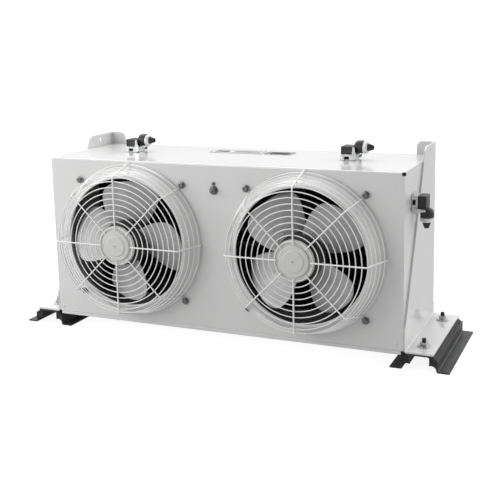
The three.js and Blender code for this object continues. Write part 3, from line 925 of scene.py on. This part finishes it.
def cap_solid():
    """The fixed cap, flange and shaft of a motor, with a centre mark."""
    profile = fillet([
        (0, CAP_FRONT + 3), (1.7, CAP_FRONT + 3), (1.7, CAP_FRONT), (24, CAP_FRONT), (26, -81.2),
        (35, -81.2), (37, -79.5), (37, -75.9), (49, -75.9), (49, -72), (22, -72), (22, -62), (6, -62),
        (6, 9), (0, 9)], [0, 0, 0, 1.2, 1.2, 1.2, 1.2, 0.8, 0.6, 0.6, 1, 1, 0.5, 0.5, 0], 4)
    return turned(profile, 96)


def rotor_solid():
    """The motor's turning can, with a shallow groove round its face."""
    profile = fillet([
        (0, 10.5), (6.4, 10.5), (6.4, -59), (30, -59), (31, -57.6), (33, -57.6), (34, -59), (47, -59),
        (51, -55), (51, 10), (47, 14), (0, 14)], [0, 0.5, 1, 0.3, 0.3, 0.3, 0.3, 3, 3, 3, 3, 0], 4)
    return turned(profile, 96)


class COOLER_OT_motors(bpy.types.Operator):
    """Motor caps, which stand still, and rotor cans, which turn"""
    bl_idname = "cooler.motors"
    bl_label = "Fan Motors"

    def execute(self, context):
        for name, x in FAN_CENTRES.items():
            finished_piece(f"motor_cap_{name}", moved(cap_solid(), x, 0, FAN_Z), "motor_paint",
                           stands_for=[f"motor_stator_{name}"])
            finished_piece(f"rotor_can_{name}", moved(rotor_solid(), x, 0, FAN_Z), "rotor_coat",
                           f"fan_{name}", [f"motor_rotor_{name}"])
        return {"FINISHED"}


BLADE_ROOT = 52.3
BLADE_TIP = 150
BLADE_MIDDLE = -12
BLADE_RISE = 25.5
CAMBER = 2.5
BLADE_PHASES = {"left": 17.5, "right": -29}
# The rivets near a blade's root: how far across the blade, and how far out.
BLADE_RIVETS = ((-0.45, 0.12), (0.05, 0.14), (0.5, 0.12), (-0.2, 0.36), (0.3, 0.36))


def blade_point(phase, across, out):
    """A point of a blade: across runs from edge to edge (-1 to 1), out from root to tip (0 to 1)."""
    radius = BLADE_ROOT + (BLADE_TIP - BLADE_ROOT) * out - 7 * (abs(across) * out) ** 5
    half_width = 22.5 + 18 * math.sqrt(1 - out)
    turn = math.radians(phase - 22.5 + 4 * (1 - out) + across * half_width)
    depth = BLADE_MIDDLE - BLADE_RISE * across - CAMBER * (1 - across * across)
    return Vector((radius * math.cos(turn), depth, radius * math.sin(turn)))


def blade_solid(phase, thickness):
    """One curved sheet blade of even thickness."""
    bm = bmesh.new()
    steps = 20
    grid = [[bm.verts.new(blade_point(phase, 2 * i / steps - 1, j / steps)) for i in range(steps + 1)]
            for j in range(steps + 1)]
    for j in range(steps):
        for i in range(steps):
            bm.faces.new((grid[j][i], grid[j][i + 1], grid[j + 1][i + 1], grid[j + 1][i]))
    sheet = loose_object("sheet", bm)
    solidify = sheet.modifiers.new("thickness", "SOLIDIFY")
    solidify.thickness = thickness
    solidify.offset = 0
    solid = solid_from(evaluated_mesh(sheet))
    discard(sheet)
    return softened(closed(solid), 0.4, 60)


def blade_rivets(phase, x):
    """Places of the rivets near a blade's root, and the way each faces."""
    places = []
    for across, out in BLADE_RIVETS:
        here = blade_point(phase, across, out)
        step = 0.02
        side = blade_point(phase, across + step, out) - here
        rise = blade_point(phase, across, out + step) - here
        normal = side.cross(rise).normalized()
        if normal.y > 0:
            normal.negate()
        spot = here + normal * 1.1
        turn = Vector((0, -1, 0)).rotation_difference(normal).to_euler()
        places.append(((spot.x + x, spot.y, spot.z + FAN_Z), tuple(turn)))
    return places


class COOLER_OT_impellers(bpy.types.Operator):
    """Four-bladed impellers with riveted sheet blades"""
    bl_idname = "cooler.impellers"
    bl_label = "Impellers"

    def execute(self, context):
        thickness = sizes().sheet / MM
        for name, x in FAN_CENTRES.items():
            phases = [BLADE_PHASES[name] + quarter for quarter in (0, 90, 180, 270)]
            blades = joined([blade_solid(phase, thickness) for phase in phases])
            finished_piece(f"blades_{name}", moved(blades, x, 0, FAN_Z), "blade_steel",
                           f"fan_{name}", [f"impeller_{name}"])
            hub = turned(fillet([(51.2, -47), (54, -47), (54, -3), (51.2, -3)], 0.8, 3), 96)
            finished_piece(f"hub_{name}", moved(hub, x, 0, FAN_Z), "rotor_coat", f"fan_{name}")
            places = [place for phase in phases for place in blade_rivets(phase, x)]
            copies(f"blade_rivets_{name}", domed_head(2.6, 1.3), places, "zinc", 11, f"fan_{name}")
        return {"FINISHED"}


class COOLER_OT_earth_point(bpy.types.Operator):
    """Earth stud with its nut, and the small screw above it"""
    bl_idname = "cooler.earth_point"
    bl_label = "Earth Point"

    def execute(self, context):
        z = middle("earth_stud", "z")
        washer = turned(fillet([(3, -0.4), (11, -0.4), (11, -2.3), (3, -2.3)], [0, 0.3, 0.8, 0], 3), 40)
        nut = hex_nut(8.4, -2.2, -10, "y")
        dome = domed_head(5.6, 5)
        stud = joined([washer, nut, moved(dome, y=-9.9), threaded_rod(3, 0.9, 8, -17.8, "y")])
        finished_piece("earth_nut", moved(stud, z=z), "screw_steel", stands_for=["earth_stud"])
        top = middle("earth_screw", "z")
        head = turned(fillet([(0, -3.9), (2.6, -3.9), (4.4, -2.2), (4.4, -0.4), (0, -0.4)],
                             [0, 0.8, 1.2, 0.2, 0], 4), 32)
        slots = [block(-3, 3, -5, -2.9, -0.5, 0.5), block(-0.5, 0.5, -5, -2.9, -3, 3)]
        screw = joined([shaped(head, slots), rod(2.9, "y", -1, 8, sides=20)])
        finished_piece("earth_cross_screw", moved(screw, z=top), "screw_steel", stands_for=["earth_screw"])
        return {"FINISHED"}


# ---- oil side


def fin_tree():
    """Layers of corrugated fin: a folded strip, thickened, and stacked at an even pitch."""
    tree, given = new_tree("radiator_fins", {
        "Width": ("Float", 900.0), "Height": ("Float", 20.0), "Depth": ("Float", 80.0),
        "Folds": ("Int", 200), "Sheet": ("Float", 0.25), "Layers": ("Int", 8),
        "Layer Pitch": ("Float", 30.0), "Finish": ("Material", None)})
    twice = reckon(tree, "MULTIPLY", given["Folds"], 2.0)
    grid = add_node(tree, "GeometryNodeMeshGrid", {
        "Size X": given["Width"], "Size Y": given["Depth"],
        "Vertices X": reckon(tree, "ADD", twice, 1.0), "Vertices Y": 2})
    position = add_node(tree, "GeometryNodeInputPosition").outputs[0]
    across = add_node(tree, "ShaderNodeSeparateXYZ", {0: position}).outputs["X"]
    share = reckon(tree, "ADD", reckon(tree, "DIVIDE", across, given["Width"]), 0.5)
    column = reckon(tree, "ROUND", reckon(tree, "MULTIPLY", share, twice))
    up_or_down = reckon(tree, "SUBTRACT", reckon(tree, "FLOORED_MODULO", column, 2.0), 0.5)
    lift = combined(tree, z=reckon(tree, "MULTIPLY", up_or_down, given["Height"]))
    folded = add_node(tree, "GeometryNodeSetPosition", {
        "Geometry": grid.outputs[0], "Offset": lift}).outputs[0]
    raised = add_node(tree, "GeometryNodeExtrudeMesh", {
        "Mesh": folded, "Offset Scale": given["Sheet"], "Individual": False}, mode="FACES").outputs[0]
    under = add_node(tree, "GeometryNodeFlipFaces", {"Mesh": folded}).outputs[0]
    both = add_node(tree, "GeometryNodeJoinGeometry")
    tree.links.new(raised, both.inputs[0])
    tree.links.new(under, both.inputs[0])
    strip = add_node(tree, "GeometryNodeMergeByDistance", {
        "Geometry": both.outputs[0], "Distance": 0.01}).outputs[0]
    index = add_node(tree, "GeometryNodeInputIndex").outputs[0]
    layers = add_node(tree, "GeometryNodePoints", {
        "Count": given["Layers"],
        "Position": combined(tree, z=reckon(tree, "MULTIPLY", index, given["Layer Pitch"]))})
    stack = add_node(tree, "GeometryNodeInstanceOnPoints", {
        "Points": layers.outputs[0], "Instance": strip})
    end_tree(tree, stack.outputs[0], given["Finish"])
    return tree


def tank_solid(node):
    """A tank rounded along its front edges."""
    low, high = span(node)
    outline = fillet(rectangle(low.y, high.y, low.z, high.z), [9, 3, 3, 9])
    return softened(prism(outline, "x", low.x, high.x), 1.0, 60)


def side_plate_solid(node):
    """A flat plate at one end of the core."""
    low, high = span(node)
    return softened(block(low.x, high.x, low.y, high.y, low.z, high.z), 1.5)


def plug_solid(node):
    """A hexagon plug on its sealing seat, facing the back."""
    low, high = span(node)
    seat = turned(fillet([(0, low.y), (12, low.y), (12, low.y + 2.6), (0, low.y + 2.6)],
                         [0, 0.3, 0.8, 0], 3), 40)
    plug = joined([seat, hex_nut(8.8, low.y + 2.4, high.y, "y", 1.0)])
    return moved(plug, middle(node, "x"), 0, middle(node, "z"))


def port_solid(node):
    """A threaded boss with a chamfered mouth, facing the back."""
    low, high = span("oil_port_upper")
    face, root = high.y, low.y
    profile = [(19, root), (19, face - 1.5), (17.5, face), (13.6, face), (12.4, face - 1.2)]
    pitch = 1.8
    ridges = int((face - root - 6) / pitch)
    for k in range(ridges):
        place = face - 1.4 - k * pitch
        profile += [(12.2, place), (13.2, place - pitch / 2)]
    bottom = face - 1.4 - ridges * pitch
    profile += [(12, bottom), (0, bottom), (0, root)]
    return moved(turned(profile, 64), middle(node, "x"), 0, middle(node, "z"))


# Each group of like pieces: its ending, its shape, its finish and the nodes it stands for.
RADIATOR_PIECES = (
    ("shell", tank_solid, "core_alloy", ("tank_lower", "tank_upper")),
    ("plate", side_plate_solid, "core_alloy", ("core_side_left", "core_side_right")),
    ("boss", port_solid, "zinc", ("oil_port_lower", "oil_port_upper")),
    ("head", plug_solid, "zinc", ("drain_plug", "vent_plug")),
)


class COOLER_OT_radiator(bpy.types.Operator):
    """Tubes, folded fins, tanks, side plates, oil ports and plugs"""
    bl_idname = "cooler.radiator"
    bl_label = "Radiator"

    def execute(self, context):
        low, high = span("radiator_core")
        tubes = 9
        tube_height = 10
        pitch = (high.z - low.z - tube_height) / (tubes - 1)
        bars = [softened(block(low.x, high.x, low.y, high.y, low.z + k * pitch,
                               low.z + k * pitch + tube_height), 1.2) for k in range(tubes)]
        finished_piece("core_tubes", joined(bars), "core_alloy", stands_for=["radiator_core"])
        width = high.x - low.x
        fin_height = pitch - tube_height - 0.4
        fins = run_tree(bpy.data.meshes.new("empty"), fin_tree(), {
            "Width": width, "Height": fin_height, "Depth": high.y - low.y - 8,
            "Folds": int(width / (sizes().fin_pitch / MM) / 2), "Sheet": 0.25, "Layers": tubes - 1,
            "Layer Pitch": pitch, "Finish": FINISHES["core_alloy"]})
        first_gap = low.z + tube_height + (pitch - tube_height) / 2
        fins.transform(Matrix.Translation((0, (low.y + high.y) / 2, first_gap)))
        finished_piece("core_fins", fins, "core_alloy", smooth=20)
        for ending, solid, finish, nodes in RADIATOR_PIECES:
            for node in nodes:
                finished_piece(f"{node}_{ending}", solid(node), finish, stands_for=[node])
        return {"FINISHED"}


# ---- rails

CUT_END = 1


def paler_ends(bm):
    """Gives the faces that look along the rail the second finish."""
    for face in bm.faces:
        face.normal_update()
        if abs(face.normal.y) > 0.9:
            face.material_index = CUT_END
    return bm


def rail_outlines():
    """Outlines of a rail's channel, its outer rubber strip and its outer angle, about its middle."""
    plate_top = FOOT_TOP - PLATE - GAP
    plate_bottom = plate_top - 3.7
    channel = fillet([
        (-31, plate_bottom), (-25, plate_bottom), (-25, 14), (-22, 14), (-22, plate_bottom),
        (22, plate_bottom), (22, 14), (25, 14), (25, plate_bottom), (31, plate_bottom),
        (31, plate_top), (-31, plate_top)], [0.6, 1.2, 0.5, 0.5, 4, 4, 0.5, 0.5, 1.2, 0.6, 1.6, 1.6], 4)
    rubber_top = plate_bottom - GAP
    arch = [(25.3 + 12.9 * math.sin(turn), 4.3 + 10.7 * math.cos(turn)) for turn in quarter_turns(8)]
    strip = [*arch, (38.2, 28), (31.5, rubber_top), (25.3, rubber_top)]
    bar = fillet([(38.5, 0), (68, 0), (68, 3.5), (41.5, 3.5), (41.5, 28), (38.5, 28)],
                 [4.0, 0.6, 0.6, 3.2, 0.6, 0.6], 5)
    return channel, strip, bar


def flipped(points):
    """An outline turned over from one side of the rail to the other."""
    return [(-u, v) for u, v in points]


class COOLER_OT_rails(bpy.types.Operator):
    """Rubber-bonded rails with their studs, washers and nuts"""
    bl_idname = "cooler.rails"
    bl_label = "Rails"

    def execute(self, context):
        pitch = sizes().thread_pitch / MM
        for rail, side in SIDES:
            x = side * RAIL_X
            channel, strip, bar = rail_outlines()
            trough = paler_ends(softened(prism(channel, "y", 0, DEPTH), 0.3, 70))
            finished_piece(f"channel_{rail}", moved(trough, x), ["rail_steel", "rail_cut"],
                           stands_for=[f"rail_channel_{rail}"])
            studs = [threaded_rod(5, pitch, 35, 61.8, "z") for _ in STUD_PLACES]
            rods = joined([moved(stud, x, y) for stud, y in zip(studs, STUD_PLACES)])
            finished_piece(f"studs_{rail}", rods, "rail_steel")
            for place, half in (("inner", -side), ("outer", side)):
                turn = flipped if half < 0 else list
                rubber = moved(softened(prism(turn(strip), "y", 1, DEPTH - 1), 0.4, 60), x)
                finished_piece(f"rubber_{rail}_{place}", rubber, "rubber",
                               stands_for=[f"rail_rubber_{rail}_{place}"])
                lying = paler_ends(softened(prism(turn(bar), "y", 0, DEPTH), 0.3, 70))
                finished_piece(f"angle_{rail}_{place}", moved(lying, x), ["rail_steel", "rail_cut"],
                               stands_for=[f"rail_angle_{rail}_{place}"])
        foot = FOOT_TOP + GAP
        washer = turned(fillet([(5.4, foot), (15, foot), (15, foot + 2.5), (5.4, foot + 2.5)],
                               [0, 0.3, 0.9, 0.6], 3), 56, "z")
        nut = shaped(hex_nut(9.3, foot + 2.4, foot + 10.8, "z"), [rod(5.2, "z", foot - 2, foot + 20)])
        template = transformed(joined([washer, nut]), Matrix.Rotation(math.pi / 2, 4, "X"))
        places = [((side * RAIL_X, y, 0), FACING_UP) for _, side in SIDES for y in STUD_PLACES]
        nodes = [f"foot_nut_{rail}_{end}" for rail, _ in SIDES for end in ("front", "rear")]
        copies("foot_nuts", template, places, "zinc", 5, stands_for=nodes)
        return {"FINISHED"}


# ---- connectors


def connector_places():
    """Where each connector stands: its own axes to millimetres."""
    places = {}
    for name in ("top_left", "top_right"):
        low, _ = span(f"connector_base_{name}")
        places[name] = Matrix.Translation((low.x + 4, low.y + 3, low.z - GAP))
    low, high = span("connector_base_side")
    places["side"] = (Matrix.Translation((low.x - GAP, low.y + 3, high.z - 4))
                      @ Matrix.Rotation(math.pi / 2, 4, "Y"))
    return places


def base_solid():
    """Die-cast base with a recess in its front, screw feet and pivot bosses."""
    body = prism(fillet(rectangle(0, 33, 0, 42), 3), "z", GAP, 15)
    recess = block(9.5, 21.5, -2, 5, 2.2, 10)
    body = softened(shaped(body, [recess]), 0.7, 50)
    feet = softened(prism(fillet(rectangle(-4, 37, 4, 38), 4), "z", GAP, 4), 0.6, 50)
    pivot = turned(fillet([(0, -3), (2.5, -3), (2.5, 45), (0, 45)], [0, 0.6, 0.6, 0], 3), 24)
    boss = softened(block(30, 35, 0.5, 41.5, 3, 14), 0.8, 50)
    screws = [rod(2.4, "z", 3.5, 5, place, 20) for place in ((-1, 9), (-1, 33))]
    return joined([body, feet, moved(pivot, 34, 0, 10), boss, *screws])


def hood_solids():
    """Moulded hood with a bordered panel on its front, and a domed elbow that ends at the gland."""
    hood = softened(block(0.5, 32.5, 1, 41, 15 + GAP, 34), 2.2, 50, 4)
    panel = softened(prism(fillet(rectangle(4, 29.5, 18.4, 31), 1.5), "y", -2, 2.2), 0.4, 50)
    hood = shaped(hood, [panel])
    ridges = [softened(block(5 + k * 6, 8 + k * 6, 6, 36, 33.2, 34.6), 0.6, 50) for k in range(3)]
    neck = softened(block(26, 44, 8, 34, 18, 33), 3.0, 50, 4)
    radius = 15.5
    dome_centre = 40
    dome = [(radius * math.sin(turn), dome_centre - 11 * math.cos(turn)) for turn in quarter_turns(10)]
    elbow = turned([*dome, (radius, 50.8), (radius - 1, 52), (0, 52)], 48, "x")
    return joined([hood, *ridges, neck, moved(elbow, 0, 21, 32)])


def gland_solids():
    """Ribbed pale gland nut, and the black cone of its bend guard with its opening."""
    start, end, radius = 52 + GAP, 62, 14.5
    nut = turned(fillet([(0, start), (radius - 0.4, start), (radius, start + 2), (radius, end - 2),
                         (radius - 1.6, end), (0, end)], [0, 0.4, 1, 1.4, 1.2, 0], 4), 48, "x")
    ribs = []
    for k in range(10):
        rib = softened(block(start + 1.6, end - 2.6, -0.9, 0.9, radius - 1.6, radius - 0.1), 0.3, 50)
        ribs.append(transformed(rib, Matrix.Rotation(math.radians(36 * k), 4, "X")))
    cone = turned(fillet([(0, 61), (9.5, 61), (9.2, 65), (5.4, 76.5), (4.2, 76.5), (3.6, 72), (0, 72)],
                         [0, 0.3, 3, 1, 0.5, 0.5, 0], 4), 40, "x")
    return moved(joined([nut, *ribs]), 0, 21, 30.5), moved(cone, 0, 21, 31)


def lever_solid():
    """Two formed arms on the pivot, joined by a bridge behind the hood."""
    arm = fillet([(28, 2.5), (38, 2.5), (41, 6), (41, 15), (37, 22), (36, 33), (31, 33), (30, 22),
                  (27.5, 8)], [3, 3, 2, 3, 6, 2, 2, 6, 4], 4)
    arms = [softened(prism(arm, "y", start, start + 2), 0.4, 60) for start in (-3, 43)]
    bridge = softened(block(39, 41, -3, 45, 11, 15), 0.5, 50)
    caps = [moved(domed_head(2.0, 0.7), 34, -3, 10)]
    return joined([*arms, bridge, *caps])


class COOLER_OT_connectors(bpy.types.Operator):
    """Three electrical connectors with locking levers and cable glands"""
    bl_idname = "cooler.connectors"
    bl_label = "Connectors"

    def execute(self, context):
        for name, place in connector_places().items():
            # Painted shade: a near-black block at the back of the base's front recess darkens the recess
            # as shade would.
            recess = softened(block(10, 21, 3.6, 4.8, 2.6, 9.6), 0.3, 50)
            nut, cone = gland_solids()
            for piece, solid, finish, body, part in (
                    ("plug_base", base_solid(), "die_cast", "frame", "base"),
                    ("plug_recess", recess, "dark_gap", "frame", None),
                    ("plug_hood", hood_solids(), "black_plastic", "frame", "hood"),
                    ("gland_nut", nut, "gland_plastic", "frame", "gland"),
                    ("gland_cone", cone, "black_plastic", "frame", None),
                    ("plug_lever", lever_solid(), "die_cast", f"lever_{name}", "lever")):
                finished_piece(f"{piece}_{name}", transformed(solid, place), finish, body,
                               [f"connector_{part}_{name}"] if part else ())
        return {"FINISHED"}


# ---- stage


def floor_material(glow):
    """Even white studio floor, which glows a little and looks white wherever it is looked at."""
    material, tree, shader, place = new_material("studio_floor", Roughness=0.9)
    tone = noise(tree, place, 0.7)
    tree.links.new(shaded(tree, tone, (0.25, 0.25, 0.25), 0.99, 1.0), shader.inputs["Base Color"])
    shader.inputs["Specular IOR Level"].default_value = 0.0
    shader.inputs["Emission Color"].default_value = (1, 1, 1, 1)
    to_camera = add_node(tree, "ShaderNodeLightPath").outputs["Is Camera Ray"]
    looks = reckon(tree, "ADD", reckon(tree, "MULTIPLY", to_camera, 0.6), glow)
    tree.links.new(looks, shader.inputs["Emission Strength"])
    return material


def sky_glow(tree, direction, towards, sharpness, strength):
    """A soft patch of sky that is brightest towards a point of the compass and height."""
    aim = Vector(towards).normalized()
    facing = add_node(tree, "ShaderNodeVectorMath", {0: direction, 1: aim}, operation="DOT_PRODUCT")
    ahead = reckon(tree, "MAXIMUM", facing.outputs["Value"], 0.0)
    return reckon(tree, "MULTIPLY", reckon(tree, "POWER", ahead, sharpness), strength)


def studio_sky(stage):
    """Light from overhead and from the right, and plain white where the sky is looked at."""
    world = bpy.data.worlds.new("studio")
    bpy.context.scene.world = world
    world.use_nodes = True
    tree = world.node_tree
    tree.nodes.clear()
    direction = add_node(tree, "ShaderNodeTexCoord").outputs["Generated"]
    overhead = sky_glow(tree, direction, (-0.5, 0.3, 0.81), 6.0, stage.overhead)
    side = sky_glow(tree, direction, (1.0, 0.5, 0.35), 3.0, stage.side)
    back = sky_glow(tree, direction, (0, 1.0, 0.1), 3.0, stage.back)
    bright = reckon(tree, "ADD", reckon(tree, "ADD", overhead, side),
                    reckon(tree, "ADD", back, stage.ambient))
    light = add_node(tree, "ShaderNodeBackground", {"Strength": bright})
    light.inputs["Color"].default_value = (1, 1, 1, 1)
    seen = add_node(tree, "ShaderNodeBackground", {"Strength": 1.05})
    seen.inputs["Color"].default_value = (1, 1, 1, 1)
    to_camera = add_node(tree, "ShaderNodeLightPath").outputs["Is Camera Ray"]
    mix = add_node(tree, "ShaderNodeMixShader", {0: to_camera, 1: light.outputs[0], 2: seen.outputs[0]})
    add_node(tree, "ShaderNodeOutputWorld", {"Surface": mix.outputs[0]})


def softbox(name, place, target, size, watts):
    """A square soft light aimed at a point."""
    data = bpy.data.lights.new(name, "AREA")
    data.size = size
    data.energy = watts
    lamp = bpy.data.objects.new(name, data)
    lamp.location = place
    lamp.rotation_mode = "QUATERNION"
    lamp.rotation_quaternion = (Vector(target) - Vector(place)).to_track_quat("-Z", "Y")
    bpy.context.scene.collection.objects.link(lamp)


def studio_camera(stage):
    """Camera from its yaw, pitch and roll about the point that it aims at."""
    ahead = Vector((-math.sin(stage.yaw) * math.cos(stage.pitch),
                    math.cos(stage.yaw) * math.cos(stage.pitch), -math.sin(stage.pitch)))
    right = ahead.cross(Vector((0, 0, 1))).normalized()
    up = right.cross(ahead)
    rolled_right = right * math.cos(stage.roll) + up * math.sin(stage.roll)
    rolled_up = up * math.cos(stage.roll) - right * math.sin(stage.roll)
    turn = Matrix((rolled_right, rolled_up, -ahead)).transposed()
    data = bpy.data.cameras.new("camera")
    data.lens = stage.lens
    data.sensor_width = 36
    data.shift_y = stage.shift
    camera = bpy.data.objects.new("camera", data)
    aim = Vector((stage.aim_x, FRONT, stage.aim_z))
    camera.matrix_world = Matrix.Translation(aim - ahead * stage.distance) @ turn.to_4x4()
    bpy.context.scene.collection.objects.link(camera)
    bpy.context.scene.camera = camera


class COOLER_OT_stage(bpy.types.Operator):
    """Pale floor, soft studio light and the camera"""
    bl_idname = "cooler.stage"
    bl_label = "Stage"

    def execute(self, context):
        stage = context.scene.cooler_stage
        context.scene.view_settings.view_transform = "Standard"
        floor = loose_object("studio_floor", rod(30, "z", -0.02, -0.0005, sides=64))
        floor.data.materials.append(floor_material(stage.floor))
        studio_sky(stage)
        softbox("key_light", (-1.0, FRONT - 1.9, 1.0), (-0.25, FRONT, 0.25), 0.9, stage.key)
        softbox("left_light", (-1.9, FRONT - 0.9, 0.9), (-0.3, FRONT, 0.3), 1.0, stage.left)
        studio_camera(stage)
        return {"FINISHED"}


# ---- add-on

OPERATORS = (
    COOLER_OT_stage, COOLER_OT_housing, COOLER_OT_blank_plate, COOLER_OT_nozzles, COOLER_OT_guards,
    COOLER_OT_guard_screws, COOLER_OT_motors, COOLER_OT_impellers, COOLER_OT_earth_point,
    COOLER_OT_radiator, COOLER_OT_rails, COOLER_OT_connectors,
)


class COOLER_PT_panel(bpy.types.Panel):
    """Lists the operators that build the cooler"""
    bl_idname = "COOLER_PT_panel"
    bl_label = "Oil Cooler"
    bl_space_type = "VIEW_3D"
    bl_region_type = "UI"
    bl_category = "Oil Cooler"

    def draw(self, context):
        for operator in OPERATORS:
            self.layout.operator(operator.bl_idname)


GROUPS = {"cooler_colours": CoolerColours, "cooler_sizes": CoolerSizes, "cooler_stage": CoolerStage}


def register():
    for group in (*GROUPS.values(), *OPERATORS, COOLER_PT_panel):
        bpy.utils.register_class(group)
    for name, group in GROUPS.items():
        setattr(bpy.types.Scene, name, PointerProperty(type=group))


def unregister():
    for name in GROUPS:
        delattr(bpy.types.Scene, name)
    for group in reversed((*GROUPS.values(), *OPERATORS, COOLER_PT_panel)):
        bpy.utils.unregister_class(group)


def main():
    register()
    make_finishes()
    for operator in OPERATORS:
        getattr(bpy.ops.cooler, operator.bl_idname.split(".")[1])()


if __name__ == "__main__":
    main()
